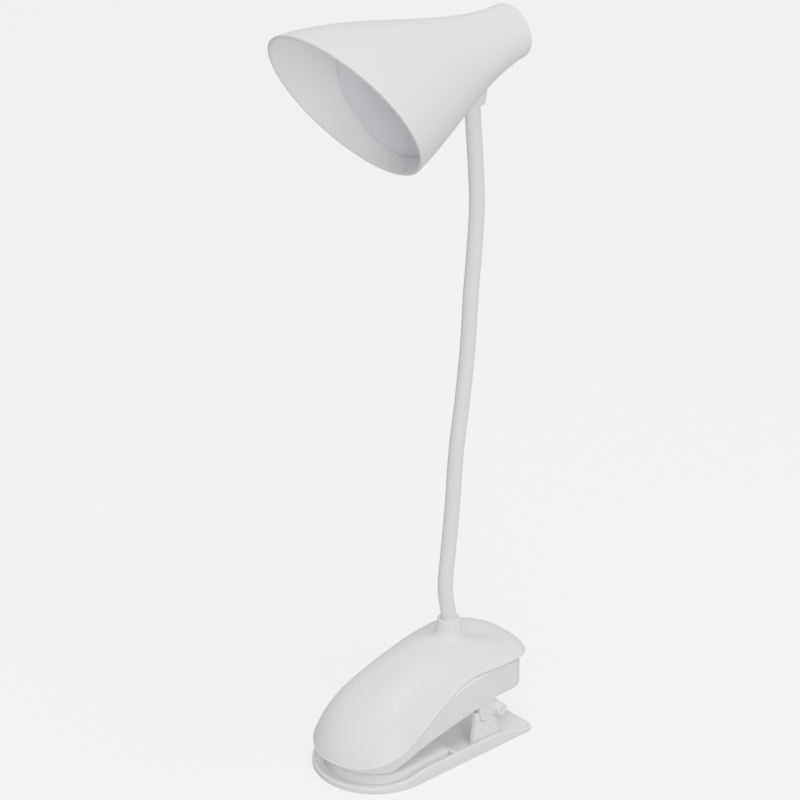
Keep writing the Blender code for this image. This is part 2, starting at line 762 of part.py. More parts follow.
def build_casing():
    ledge = SHELL_WALL + 3 * GAP
    inside = CASING_WALL + 0.0016

    casing = stacked("bottom_casing", [
        casing_ring(0.0014, belly_z),
        casing_ring(0.0004, lambda y: belly_z(y) + 0.0004),
        casing_ring(0.0, lambda y: belly_z(y) + 0.0014),
        casing_ring(0.0, lambda y: edge_z(y) - STEP_DROP),
        form_ring(ledge, -2 * GAP),
        form_ring(ledge, TUCK),
        casing_ring(inside, edge_z),
        casing_ring(inside, lambda y: belly_z(y) + CASING_WALL + 0.0006),
        casing_ring(inside + 0.0010, lambda y: belly_z(y) + CASING_WALL),
    ], "shell")
    for side, label in ((-1, "left"), (1, "right")):
        ear_x = sorted((side * EAR_OUTER, side * EAR_INNER))
        hook_x = sorted((side * HOOK_OUTER, side * HOOK_INNER))
        boolean(casing, prism(f"lobe_{label}", lobe_outline(), *ear_x, None), "UNION")
        boolean(casing, prism(f"hook_{label}", hook_outline(), *hook_x, None), "UNION")
    holes = []
    for x, y in screw_spots():
        low = belly_z(y)
        sink = 0.0010
        holes.append(turned("screw_hole", (
            (0, low - 0.002), (SCREW_HEAD + GAP, low - 0.002), (SCREW_HEAD + GAP, low + sink),
            (SCREW_RADIUS + GAP, low + sink), (SCREW_RADIUS + GAP, low + 0.006), (0, low + 0.006),
        ), None, Matrix.Translation((x, y, 0)), 14))
    low, high = usb_box()
    grow = Vector((GAP, 0.003, GAP))
    holes.append(block("usb_slot", low - grow, high + grow, None))
    boolean(casing, joined("casing_holes", holes, None), "DIFFERENCE")
    return casing


def build_upper_pad():
    top = LIP_Z - GAP
    inset = GROOVE + TRAY_WALL + 0.001
    end_y = LIP_END_Y

    def ring(more, z):
        """The round nose as far as a straight rear edge."""
        radius = HALF_CLIP - inset - more
        nose_y = TRAY_FRONT_Y + HALF_CLIP
        reach = math.degrees(math.asin((end_y - more - nose_y) / radius))
        return at_height(arc((0, nose_y), radius, -180 - reach, reach, 2 * ARC_STEPS), z)

    thick = min(UPPER_PAD_THICK, LIP_Z - PAD_TOP - 2 * GAP)
    return stacked("upper_grip_pad", [
        ring(0.0003, top - thick), ring(0.0, top - thick + 0.0002), ring(0.0, top),
    ], "pad")


def usb_box():
    low = Vector((-0.0038, CASING_REAR_Y - CASING_WALL - 0.0050, BELLY_REAR_Z + 0.0062))
    high = Vector((0.0038, CASING_REAR_Y - 0.0004, BELLY_REAR_Z + 0.0090))
    return low, high


def build_electrics():
    tilt = math.radians(CELL_TILT)
    along = Vector((0, math.cos(tilt), math.sin(tilt)))
    start = Vector((0, CELL_Y, CELL_Z)) - along * CELL_LENGTH / 2
    cell = turned("battery_cell", (
        (0, 0), (CELL_RADIUS - 0.0006, 0), (CELL_RADIUS, 0.0006), (CELL_RADIUS, CELL_LENGTH - 0.0006),
        (CELL_RADIUS - 0.0006, CELL_LENGTH), (0.0032, CELL_LENGTH), (0.0032, CELL_LENGTH + 0.0012),
        (0, CELL_LENGTH + 0.0012),
    ), "cell", frame_along(start, along))
    place = button_place()
    deck = -BOARD_DEPTH
    board = block(
        "circuit_board", (-0.011, -0.009, deck - BOARD_THICK), (0.011, 0.006, deck), "board", place,
    )
    switch = turned("tact_switch", (
        (0, deck + GAP), (0.003, deck + GAP), (0.003, deck + 0.0035), (0.0016, deck + 0.0035),
        (0.0016, deck + 0.0045), (0, deck + 0.0045),
    ), "steel", place, 16)
    stem_end = deck + 0.0045 + GAP + BUTTON_TRAVEL
    button = turned("power_button", (
        (0, stem_end), (0.0018, stem_end), (0.0018, -BUTTON_DEPTH), (BUTTON_RADIUS, -BUTTON_DEPTH),
        (BUTTON_RADIUS, -0.0004), (BUTTON_RADIUS - 0.0005, 0.0001), (0.0035, -0.0003), (0, -0.0005),
    ), "shell", place)
    low, high = usb_box()
    usb = block("usb_socket", low, high, "steel")
    mouth = block(
        "usb_mouth", low + Vector((0.0006, 0.0030, 0.0006)), high + Vector((-0.0006, 0.0030, -0.0006)), None,
    )
    boolean(usb, mouth, "DIFFERENCE")
    tip = start + along * (CELL_LENGTH + 0.0012 + GAP)
    end = place @ Vector((0, -0.006, deck - BOARD_THICK - 0.0010 - GAP))
    sag = Vector((0, 0.004, -0.001))
    lead = wire("battery_lead", [
        tip + Vector((0, 0.0004, 0.0008)), tip + sag + Vector((0, 0.001, 0)),
        (tip + end) / 2 + sag, end + Vector((0, -0.002, -0.001)), end,
    ], 0.0009, "lead", 2)
    return [cell, board, switch, usb, lead], button


def build_casing_screws():
    made = []
    for number, (x, y) in enumerate(screw_spots(), 1):
        seat = belly_z(y) + 0.0010 - GAP
        made.append(turned(f"casing_screw_{number}", (
            (0, seat - 0.0012), (SCREW_HEAD, seat - 0.0012), (SCREW_HEAD, seat), (SCREW_RADIUS, seat),
            (SCREW_RADIUS, seat + 0.0085), (0, seat + 0.0095),
        ), "steel", Matrix.Translation((x, y, 0)), 12))
    return made


# Neck.

def neck_point(share):
    """Where the neck's centre line stands at a share of its rise: a smooth curve by its sway."""
    knots = NECK_SWAY
    i = max(0, min(len(knots) - 2, sum(share > knot[0] for knot in knots) - 1))
    before = knots[max(i - 1, 0)]
    after = knots[min(i + 2, len(knots) - 1)]
    (s0, y0), (s1, y1) = knots[i], knots[i + 1]
    slope0 = (y1 - before[1]) / (s1 - before[0])
    slope1 = (after[1] - y0) / (after[0] - s0)
    width = s1 - s0
    t = (share - s0) / width
    y = (
        y0 * (1 + 2 * t) * (1 - t) ** 2 + slope0 * width * t * (1 - t) ** 2
        + y1 * t * t * (3 - 2 * t) + slope1 * width * t * t * (t - 1)
    )
    return Vector((0, COLLAR_Y + y, COLLAR_TOP_Z + NECK_RISE * share))


def neck_route(start, end, steps):
    """Points from one height above the collar to another."""
    return [neck_point((start + (end - start) * i / steps) / NECK_RISE) for i in range(steps + 1)]


def tube(name, points, outer, bore, finish, sides=10):
    """A pipe along points that lie in the plane X = 0."""
    mesh_data = bmesh.new()
    rows = ([], [])
    for i, point in enumerate(points):
        ahead = points[min(i + 1, len(points) - 1)]
        behind = points[max(i - 1, 0)]
        place = frame_along(point, ahead - behind)
        for row, radius in zip(rows, (outer, bore)):
            row.append(add_ring(mesh_data, [
                place @ Vector((radius * math.cos(a), radius * math.sin(a), 0))
                for a in [math.tau * k / sides for k in range(sides)]
            ]))
    skin_rings(mesh_data, rows[0] + list(reversed(rows[1])), closed=True)
    return add_object(name, mesh_data, finish)


LINK = NECK_RISE / NECK_LINKS


def joint_height(number):
    """Height above the collar of the middle of the gap under a link, counted from 0."""
    return LINK * number + LINK_GAP / 2


def build_neck(jaw_pivot):
    """Links of sleeve and core, each hung on a pivot in the gap below it."""
    parent = jaw_pivot
    for number in range(NECK_LINKS):
        here = joint_height(number)
        parent = pivot(f"neck_pivot_{number + 1}", neck_point(here / NECK_RISE), parent)
        start = here + LINK_GAP / 2
        last = number == NECK_LINKS - 1
        end = NECK_RISE if last else joint_height(number + 1) - LINK_GAP / 2
        points = neck_route(start, end, 3)
        hang(
            parent,
            tube(f"neck_sleeve_{number + 1}", points, NECK_RADIUS, NECK_BORE, "silicone"),
            tube(f"neck_core_{number + 1}", points, NECK_BORE - GAP, CORE_BORE, "steel", 8),
        )
    return parent


def build_neck_root():
    """The neck's end in the collar, and the bush and nut that hold it under the shell."""
    place = Matrix.Translation((0, COLLAR_Y, 0))
    low = crown_z(COLLAR_Y) - SHELL_WALL - 0.009
    bush_top = COLLAR_TOP_Z - 0.0008
    bush = turned("neck_bush", (
        (CORE_BORE, low), (NECK_RADIUS, low), (NECK_RADIUS, bush_top), (CORE_BORE, bush_top),
    ), "brass", place, 20)
    nut_top = low + 0.0042
    nut = hex_nut("neck_nut", NECK_RADIUS + GAP, NUT_ACROSS, nut_top - 0.003, nut_top, "brass", place)
    return [bush, nut]


# Head.

NECK_TOP = neck_point(1.0)
SHADE_AXIS = Vector((0, -math.cos(math.radians(SHADE_TILT)), -math.sin(math.radians(SHADE_TILT))))
SHADE_UP = Vector((0, SHADE_AXIS.z, -SHADE_AXIS.y))
SHADE_TAIL = NECK_TOP + Vector((0, 0, SOCKET_DROP)) - SHADE_AXIS * SHADE_LENGTH * SOCKET_SHARE
SHADE_STEPS = 36


def shade_radius(share):
    return TAIL_RADIUS + (MOUTH_RADIUS - TAIL_RADIUS) * smooth(share ** FLARE_BEND)


def shade_point(share, angle, thinner=0.0, radius=None):
    """A point of the shade's surface: share runs from tail to mouth, the angle round the axis."""
    reach = (shade_radius(share) if radius is None else radius) - thinner
    centre = SHADE_TAIL + SHADE_AXIS * SHADE_LENGTH * share + SHADE_UP * MOUTH_LIFT * share ** 2
    wide = 1 + MOUTH_WIDENING * share ** 1.2
    return centre + Vector((reach * wide * math.cos(angle), 0, 0)) + SHADE_UP * reach * math.sin(angle)


def mouth_share(angle, thinner):
    """Where the mouth's slanting plane cuts the surface at an angle, by halving."""
    slant = math.radians(MOUTH_SLANT)
    facing = Vector((0, -math.cos(slant), -math.sin(slant)))
    on_plane = SHADE_TAIL + SHADE_AXIS * SHADE_LENGTH * MOUTH_SHARE
    low, high = 0.3, 1.0
    for _ in range(40):
        middle = (low + high) / 2
        if (shade_point(middle, angle, thinner) - on_plane).dot(facing) < 0:
            low = middle
        else:
            high = middle
    return low


def shade_surface(mesh_data, thinner, start, rows):
    """Rings of the shade from a start share to the slanting mouth."""
    angles = [math.tau * i / SHADE_STEPS for i in range(SHADE_STEPS)]
    ends = [mouth_share(a, thinner) for a in angles]
    made = []
    for k in range(rows + 1):
        made.append(add_ring(mesh_data, [
            shade_point(start + (end - start) * k / rows, a, thinner)
            for a, end in zip(angles, ends)
        ]))
    return made


def build_shade():
    mesh_data = bmesh.new()
    round_share = TAIL_ROUND / SHADE_LENGTH
    angles = [math.tau * i / SHADE_STEPS for i in range(SHADE_STEPS)]
    rounding = []
    for k in range(3):
        a = math.pi / 2 * k / 3
        rounding.append(add_ring(mesh_data, [
            shade_point(round_share * (1 - math.sin(a)), t, 0, TAIL_RADIUS - TAIL_ROUND * (1 - math.cos(a)))
            for t in angles
        ]))
    rounding = list(reversed(rounding))
    outer = shade_surface(mesh_data, 0.0, round_share, 8)
    inner = shade_surface(mesh_data, SHADE_WALL, (SHADE_WALL + 0.0006) / SHADE_LENGTH, 7)
    skin_rings(mesh_data, rounding[:-1] + outer + list(reversed(inner)))
    bmesh.ops.delete(mesh_data, geom=rounding[-1], context="VERTS")
    mesh_data.faces.new(rounding[0])
    mesh_data.faces.new(inner[0])
    shade = add_object("lamp_shade", mesh_data, "shell", sharp=50)
    hole = SOCKET_RADIUS - 0.0012 + GAP
    bore = turned("socket_hole", (
        (0, 0), (hole, 0), (hole, SOCKET_DROP), (0, SOCKET_DROP),
    ), None, socket_place(), 20)
    return boolean(shade, bore, "DIFFERENCE")


def shade_core(name, thinner):
    """The whole space inside the shade's surface, from its tail to its mouth."""
    mesh_data = bmesh.new()
    rings = shade_surface(mesh_data, thinner, 0.0, 8)
    skin_rings(mesh_data, rings)
    mesh_data.faces.new(rings[0])
    mesh_data.faces.new(rings[-1])
    return add_object(name, mesh_data, None)


def socket_place():
    """The neck's top end, Z along the neck there."""
    return frame_along(NECK_TOP, Vector((0, 0, 1)))


def wall_height():
    """How far the shade's underside stands above the neck's top, on the socket's axis."""
    return SOCKET_DROP - shade_radius(SOCKET_SHARE)


def build_socket():
    """The boss under the shade that grips the neck, with a spigot through the wall and a nut."""
    seat = wall_height()
    spigot_radius = SOCKET_RADIUS - 0.0012
    through = seat + SHADE_WALL + 0.0085
    bore = NECK_RADIUS + GAP
    place = socket_place()
    socket = turned("neck_socket", (
        (bore, -0.0010), (SOCKET_RADIUS - 0.0014, -0.0010), (SOCKET_RADIUS - 0.0008, -0.0004),
        (SOCKET_RADIUS, seat - 0.003), (SOCKET_RADIUS, seat + SOCKET_RADIUS), (bore, seat + SOCKET_RADIUS),
    ), "shell", place, 26)
    boolean(socket, shade_core("shade_skin", -GAP), "DIFFERENCE")
    spigot = turned("spigot", (
        (CORE_BORE, 0.0010), (bore + 0.0004, 0.0010), (spigot_radius, seat - 0.0050),
        (spigot_radius, through), (CORE_BORE, through),
    ), None, place, 22)
    boolean(socket, spigot, "UNION")
    nut_low = seat + SHADE_WALL + 0.0050
    nut = hex_nut("socket_nut", spigot_radius + GAP, NUT_ACROSS + 0.0030, nut_low, nut_low + 0.003, "brass", place)
    return [socket, nut]


def shade_disc(name, finish, profile, start_share):
    """A piece turned about the shade's axis, as wide as the shade is there."""
    mesh_data = bmesh.new()
    steps = SHADE_STEPS
    rings = []
    for radius, ahead in profile:
        share = start_share + ahead / SHADE_LENGTH
        if radius == 0:
            rings.append([mesh_data.verts.new(shade_point(share, 0, 0, 0.0))])
            continue
        rings.append(add_ring(mesh_data, [
            shade_point(share, math.tau * i / steps, 0, radius) for i in range(steps)
        ]))
    pairs = list(zip(rings, rings[1:]))
    if len(rings[0]) > 1:
        pairs.append((rings[-1], rings[0]))
    for low, high in pairs:
        for i in range(steps):
            j = (i + 1) % steps
            corners = [low[i % len(low)], low[j % len(low)], high[j % len(high)], high[i % len(high)]]
            mesh_data.faces.new(dict.fromkeys(corners))
    return add_object(name, mesh_data, finish)


def inside_radius(share):
    return shade_radius(share) - SHADE_WALL - 2 * GAP


def build_light():
    """The carrier, the board with its LEDs, the screws that hold it and the opal diffuser."""
    edge = inside_radius(DIFFUSER_SHARE)
    lens_back = DIFFUSER_SHARE - 0.0006 / SHADE_LENGTH
    thick = DIFFUSER_THICK
    dome = [(edge * math.cos(a), DIFFUSER_DOME * math.sin(a)) for a in [math.pi / 2 * i / 5 for i in range(5)]]
    hollow = [(max(r - thick, 0), h - thick) for r, h in reversed(dome[:-1])]
    diffuser = shade_disc("diffuser", "opal", (
        (0, DIFFUSER_DOME - thick), *hollow, (edge - thick, -0.0020), (edge - 0.0010, -0.0020),
        *dome, (0, DIFFUSER_DOME),
    ), lens_back)

    depth = 0.0150
    carrier_share = DIFFUSER_SHARE - depth / SHADE_LENGTH
    rear = inside_radius(carrier_share)
    front = inside_radius(DIFFUSER_SHARE - 0.0032 / SHADE_LENGTH)
    carrier = shade_disc("led_carrier", "shell", (
        (0, 0), (rear, 0), (front, depth - 0.0032), (front - 0.0016, depth - 0.0032),
        (rear - 0.0016, 0.0016), (0, 0.0016),
    ), carrier_share)

    centre = shade_point(carrier_share + (0.0016 + GAP) / SHADE_LENGTH, 0, 0, 0.0)
    face = frame_along(centre, SHADE_AXIS)
    board = turned("led_board", (
        (0, 0), (BOARD_RADIUS, 0), (BOARD_RADIUS, BOARD_THICK), (0, BOARD_THICK),
    ), "board", face)
    half = LED_SIZE / 2
    chips = []
    for number in range(LED_COUNT):
        a = math.tau * number / LED_COUNT
        away = Vector((math.cos(a), math.sin(a), 0)) * BOARD_RADIUS * 0.72
        chips.append(block(
            "chip", away + Vector((-half, -half, BOARD_THICK / 2)),
            away + Vector((half, half, BOARD_THICK + 0.0007)), None, face,
        ))
    boolean(board, joined("led_chips", chips, None), "UNION")

    screws, holes = [], []
    for number in range(3):
        a = math.tau * (number / 3 + 0.25)
        spot = face @ Matrix.Translation(Vector((math.cos(a), math.sin(a), 0)) * BOARD_RADIUS * 0.38)
        top = BOARD_THICK + GAP
        screws.append(turned(f"board_screw_{number + 1}", (
            (0, -0.0040), (0.0010, -0.0036), (0.0010, top), (0.0020, top), (0.0016, top + 0.0010),
            (0, top + 0.0012),
        ), "steel", spot, 10))
        holes.append(turned("hole", (
            (0, -0.006), (0.0010 + GAP, -0.006), (0.0010 + GAP, 0.006), (0, 0.006),
        ), None, spot, 10))
    holes = joined("board_holes", holes, None)
    boolean(board, holes, "DIFFERENCE")
    boolean(carrier, holes, "DIFFERENCE")
    return [diffuser, carrier, board, *screws]


def build_lamp():
    build_tray()
    build_lower_pad()
    build_hinge()
    wire("torsion_spring", spring_path(), WIRE_RADIUS, "steel")

    jaw = pivot("clip_pivot", (0, HINGE_Y, HINGE_Z))
    electrics, button = build_electrics()
    hang(
        jaw, build_shell(), build_casing(), build_upper_pad(), *electrics,
        *build_casing_screws(), *build_neck_root(),
    )
    press = pivot("button_travel", button_place().translation, jaw)
    hang(press, button)

    top_link = build_neck(jaw)
    hang(top_link, build_shade(), *build_socket(), *build_light())


build_lamp()
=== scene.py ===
import json
import math

import bmesh
import bpy
from mathutils import Matrix, Vector
from mathutils.bvhtree import BVHTree


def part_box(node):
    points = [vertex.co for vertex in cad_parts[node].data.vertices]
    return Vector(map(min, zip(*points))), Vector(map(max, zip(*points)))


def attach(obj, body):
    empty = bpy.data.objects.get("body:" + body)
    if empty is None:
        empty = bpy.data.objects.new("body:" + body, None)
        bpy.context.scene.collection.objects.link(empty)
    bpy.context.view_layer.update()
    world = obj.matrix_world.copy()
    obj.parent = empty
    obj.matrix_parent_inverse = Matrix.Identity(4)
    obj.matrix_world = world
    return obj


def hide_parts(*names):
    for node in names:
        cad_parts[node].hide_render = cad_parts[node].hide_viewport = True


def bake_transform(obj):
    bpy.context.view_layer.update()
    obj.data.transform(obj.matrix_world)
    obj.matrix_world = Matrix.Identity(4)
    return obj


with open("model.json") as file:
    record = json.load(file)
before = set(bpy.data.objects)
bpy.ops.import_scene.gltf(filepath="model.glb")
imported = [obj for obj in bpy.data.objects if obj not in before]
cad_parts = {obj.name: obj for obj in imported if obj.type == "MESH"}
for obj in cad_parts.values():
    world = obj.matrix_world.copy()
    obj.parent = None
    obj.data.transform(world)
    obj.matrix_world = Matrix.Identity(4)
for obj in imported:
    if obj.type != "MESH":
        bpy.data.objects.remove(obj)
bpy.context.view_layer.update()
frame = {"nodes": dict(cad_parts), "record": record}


# Camera.
# The lamp is seen from the right of its mouth and a little above, through a long lens, so that the
# clip's nose and the shade's mouth both turn towards the left.

camera_turn = math.radians(48)
camera_rise = math.radians(27)
camera_aim = Vector((0, -0.00975, 0.205))
camera_distance = 2.0
camera_data = bpy.data.cameras.new("camera")
camera_data.lens = 180
camera_data.sensor_width = 36
camera_data.clip_end = 20
camera = bpy.data.objects.new("camera", camera_data)
bpy.context.scene.collection.objects.link(camera)
bpy.context.scene.camera = camera
look_back = Vector((
    math.sin(camera_turn) * math.cos(camera_rise),
    -math.cos(camera_turn) * math.cos(camera_rise),
    math.sin(camera_rise),
))
camera.location = camera_aim + look_back * camera_distance
camera.rotation_euler = look_back.to_track_quat("Z", "Y").to_euler()


# Lower jaw's tray.
# A shallow injection-moulded ABS tray with a round nose, which the lamp stands on. Its wall rises
# from the nose to the middle and falls away again towards the end that is pressed.

def moulded(name, colour, roughness, grain=0.0004, depth=0.00002, mottle=0.03, metallic=0.0):
    """A finish whose fine grain is a bump and whose broad patches vary gloss and colour a little."""
    made = bpy.data.materials.new(name)
    made.use_nodes = True
    tree = made.node_tree
    shader = tree.nodes["Principled BSDF"]
    shader.inputs["Metallic"].default_value = metallic
    patches_per_metre = 45
    gloss_spread = 0.05
    where = tree.nodes.new("ShaderNodeTexCoord")
    fine = tree.nodes.new("ShaderNodeTexNoise")
    fine.inputs["Scale"].default_value = 1 / grain
    fine.inputs["Detail"].default_value = 2
    bump = tree.nodes.new("ShaderNodeBump")
    bump.inputs["Strength"].default_value = 0.5
    bump.inputs["Distance"].default_value = depth
    broad = tree.nodes.new("ShaderNodeTexNoise")
    broad.inputs["Scale"].default_value = patches_per_metre
    broad.inputs["Detail"].default_value = 3
    gloss = tree.nodes.new("ShaderNodeMapRange")
    gloss.inputs["To Min"].default_value = roughness - gloss_spread
    gloss.inputs["To Max"].default_value = roughness + gloss_spread
    tint = tree.nodes.new("ShaderNodeMix")
    tint.data_type = "RGBA"
    tint.inputs[6].default_value = (*[c * (1 - mottle) for c in colour], 1)
    tint.inputs[7].default_value = (*colour, 1)
    for source in (fine, broad):
        tree.links.new(where.outputs["Object"], source.inputs["Vector"])
    tree.links.new(fine.outputs["Fac"], bump.inputs["Height"])
    tree.links.new(bump.outputs["Normal"], shader.inputs["Normal"])
    tree.links.new(broad.outputs["Fac"], gloss.inputs["Value"])
    tree.links.new(gloss.outputs["Result"], shader.inputs["Roughness"])
    tree.links.new(broad.outputs["Fac"], tint.inputs["Factor"])
    tree.links.new(tint.outputs[2], shader.inputs["Base Color"])
    return made


def skin(mesh, rings, closed=False):
    """Faces between rings of the same number of points."""
    pairs = list(zip(rings, rings[1:]))
    if closed:
        pairs.append((rings[-1], rings[0]))
    for low, high in pairs:
        for i in range(len(low)):
            j = (i + 1) % len(low)
            mesh.faces.new((low[i], low[j], high[j], high[i]))


def lofted(rings):
    """A closed mesh through rings of points, with its two ends filled."""
    mesh = bmesh.new()
    made = [[mesh.verts.new(point) for point in ring] for ring in rings]
    skin(mesh, made)
    for end in (made[0], made[-1]):
        middle = mesh.verts.new(sum((v.co for v in end), Vector()) / len(end))
        for i in range(len(end)):
            mesh.faces.new((end[i], end[(i + 1) % len(end)], middle))
    return mesh


def softened(data, sharp):
    """Smooth shading, broken where faces meet at more than an angle in degrees."""
    data.shade_smooth()
    data.set_sharp_from_angle(angle=math.radians(sharp))


def shown(name, mesh, finish, sharp=50):
    """The mesh as an object, shaded smooth up to an angle."""
    bmesh.ops.recalc_face_normals(mesh, faces=mesh.faces)
    data = bpy.data.meshes.new(name)
    mesh.to_mesh(data)
    mesh.free()
    softened(data, sharp)
    data.materials.append(finish)
    made = bpy.data.objects.new(name, data)
    bpy.context.scene.collection.objects.link(made)
    return made


def fixed(made, body, slot, *nodes):
    """Rides on a body and stands for CAD nodes."""
    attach(made, body)
    if nodes:
        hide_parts(*nodes)


def quarter(steps):
    """Angles from nothing to a quarter turn."""
    return [math.pi / 2 * i / steps for i in range(steps + 1)]


def smooth(share):
    share = min(1.0, max(0.0, share))
    return share * share * (3 - 2 * share)


def plan_outline(half_width, front_y, rear_y, corner, inset):
    """A round nose, straight sides and round rear corners, from the nose's middle round by +X."""
    nose_y = front_y + half_width
    reach = half_width - inset
    nose_steps, side_steps, corner_steps = 32, 40, 16
    least_radius = 0.0004
    right = [(reach * math.sin(a), nose_y - reach * math.cos(a)) for a in quarter(nose_steps)]
    radius = max(corner - inset, least_radius)
    side_end = rear_y - max(corner, inset + radius)
    for i in range(1, side_steps):
        right.append((reach, nose_y + (side_end - nose_y) * i / side_steps))
    for a in quarter(corner_steps):
        right.append((reach - radius + radius * math.cos(a), rear_y - inset - radius + radius * math.sin(a)))
    return right + [(-x, y) for x, y in reversed(right[1:])]


def lifted(outline, level):
    """The outline at a level, which is a number or a function of y."""
    height = level if callable(level) else lambda y: level
    return [(x, y, height(y)) for x, y in outline]


tray_low, tray_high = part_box("lower_tray")
tray_half = tray_high.x
tray_corner = 0.0055
tray_wall = 0.0018
tray_floor = 0.0022
tray_flat = 0.012
thinned_below_rim = 0.0010
rim_height = 0.0078
nose_dip, nose_dip_start, nose_dip_end = 0.0042, -0.016, -0.050
rear_dip, rear_dip_start = 0.0056, 0.026


def rim_z(y):
    front = smooth((nose_dip_start - y) / (nose_dip_start - nose_dip_end))
    rear = smooth((y - rear_dip_start) / (tray_high.y - rear_dip_start))
    return rim_height - nose_dip * front - rear_dip * rear


def tray_ring(inset, level):
    return lifted(plan_outline(tray_half, tray_low.y, tray_high.y, tray_corner, inset), level)


def below_rim(drop):
    return lambda y: rim_z(y) - drop


def floor_z(y):
    """The tray's floor, which thins under the low rim at the press end."""
    return min(tray_floor, rim_z(y) - thinned_below_rim)


white_plastic = moulded("white_plastic", (0.80, 0.775, 0.80), 0.36, depth=0.000012)
foot_round = 0.0008
lip_round = 0.0006
inner_fillet = 0.0014
round_steps = 4
tray_rings = [tray_ring(tray_flat, 0.0)]
for a in quarter(round_steps):
    tray_rings.append(tray_ring(foot_round * (1 - math.sin(a)), foot_round * (1 - math.cos(a))))
for share in (0.35, 0.7):
    tray_rings.append(tray_ring(0, lambda y, s=share: foot_round + (rim_z(y) - lip_round - foot_round) * s))
for a in quarter(round_steps):
    tray_rings.append(tray_ring(lip_round * (1 - math.cos(a)), below_rim(lip_round * (1 - math.sin(a)))))
for a in reversed(quarter(round_steps)):
    tray_rings.append(tray_ring(
        tray_wall - lip_round * (1 - math.cos(a)), below_rim(lip_round * (1 - math.sin(a))),
    ))
for a in quarter(round_steps):
    tray_rings.append(tray_ring(
        tray_wall + inner_fillet * (1 - math.cos(a)),
        lambda y, s=math.sin(a): floor_z(y) + min(inner_fillet, rim_z(y) - floor_z(y) - lip_round) * (1 - s),
    ))
tray_rings.append(tray_ring(tray_flat, floor_z))
fixed(shown("tray", lofted(tray_rings), white_plastic), "lower_jaw", "white_abs", "lower_tray")


# Towers, lugs and cross rib of the tray.
# They are moulded in one piece with the tray: a tapered tower on each side with a saddle for the
# casing's lobe, a lug on each side that carries the hinge sleeve, and a rib that stops the pad.

def arc(centre_y, centre_z, radius, start, end, steps):
    """Points on a circle from one angle to another, in degrees."""
    turns = [math.radians(start + (end - start) * i / steps) for i in range(steps + 1)]
    return [(centre_y + radius * math.cos(a), centre_z + radius * math.sin(a)) for a in turns]


def slab(name, outline, x_low, x_high):
    """A flat-sided piece of the white plastic across X, with its edges rounded."""
    mesh = bmesh.new()
    sides = [[mesh.verts.new((x, y, z)) for y, z in outline] for x in (x_low, x_high)]
    skin(mesh, sides)
    for side in sides:
        mesh.faces.new(side)
    made = shown(name, mesh, white_plastic, 30)
    bevel = made.modifiers.new("round", "BEVEL")
    bevel.width = 0.0004
    bevel.segments = 3
    bevel.limit_method = "ANGLE"
    bevel.angle_limit = math.radians(50)
    return made


barrel_low, barrel_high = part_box("hinge_sleeve")
hinge_y = (barrel_low.y + barrel_high.y) / 2
hinge_z = (barrel_low.z + barrel_high.z) / 2
barrel_radius = (barrel_high.z - barrel_low.z) / 2
gap = 0.0003
casing_inset = 0.0049
casing_half = tray_half - casing_inset
ear_thick = 0.0030
lobe_z, lobe_radius = 0.0196, 0.0046
lobe_y = hinge_y - barrel_radius - 2 * gap - lobe_radius
lobe_outer = casing_half - gap
lobe_inner = lobe_outer - ear_thick
foot_z = tray_floor / 2
tower_reach, tower_length = 0.0100, 0.0192
tower_top, tower_taper = 0.0216, 0.0022
tower_front = lobe_y - tower_reach
tower_rear = tower_front + tower_length
saddle_wall = 0.0014
shoulder_gap = 0.0012
shoulder = hinge_z - barrel_radius - shoulder_gap
tower_outline = [
    (tower_front, foot_z), (tower_front + tower_taper, tower_top),
    (lobe_y - lobe_radius - saddle_wall, tower_top),
    *arc(lobe_y, lobe_z, lobe_radius + 2 * gap, 196, 318, 18),
    (hinge_y - 0.0034, shoulder), (hinge_y - 0.0016, shoulder - 0.0006), (tower_rear, foot_z),
]
lug_outer = 0.0177
lug_thick = 0.0032
lug_inner = lug_outer - lug_thick
lug_ring, lug_spread = 0.0021, 0.0012
lug_reach = barrel_radius + gap + lug_ring
lug_foot = lug_reach + lug_spread
lug_outline = [
    (hinge_y - lug_foot, foot_z), *arc(hinge_y, hinge_z, lug_reach, 180, 0, 24), (hinge_y + lug_foot, foot_z),
]
for side, label in ((-1, "left"), (1, "right")):
    tower_x = sorted((side * lobe_outer, side * lobe_inner))
    lug_x = sorted((side * lug_outer, side * lug_inner))
    fixed(slab(f"tower_{label}", tower_outline, *tower_x), "lower_jaw", "white_abs")
    fixed(slab(f"hinge_lug_{label}", lug_outline, *lug_x), "lower_jaw", "white_abs")
rib_front, rib_rear = 0.0025, 0.0041
rib_top = 0.0056
rib_half = tray_half - tray_wall / 2
rib_outline = [(rib_front, foot_z), (rib_front, rib_top), (rib_rear, rib_top), (rib_rear, foot_z)]
fixed(slab("cross_rib", rib_outline, -rib_half, rib_half), "lower_jaw", "white_abs")


# Grip pads.
# Two pads of soft white silicone face each other in the mouth of the clip, the lower one pressed
# into the tray and the upper one glued under the casing's lip.

pad_silicone = moulded("pad_silicone", (0.70, 0.685, 0.71), 0.55, grain=0.0003, depth=0.00003)
pad_low, pad_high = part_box("lower_grip_pad")
pad_inset = tray_half - pad_high.x
pad_round = 0.0009
pad_corner = 0.0014
pad_flat = 0.0040
pad_edge = 0.0004


def pad_ring(more, level):
    inset = pad_inset + more
    corner = pad_inset + pad_corner
    return lifted(plan_outline(tray_half, tray_low.y, pad_high.y + pad_inset, corner, inset), level)


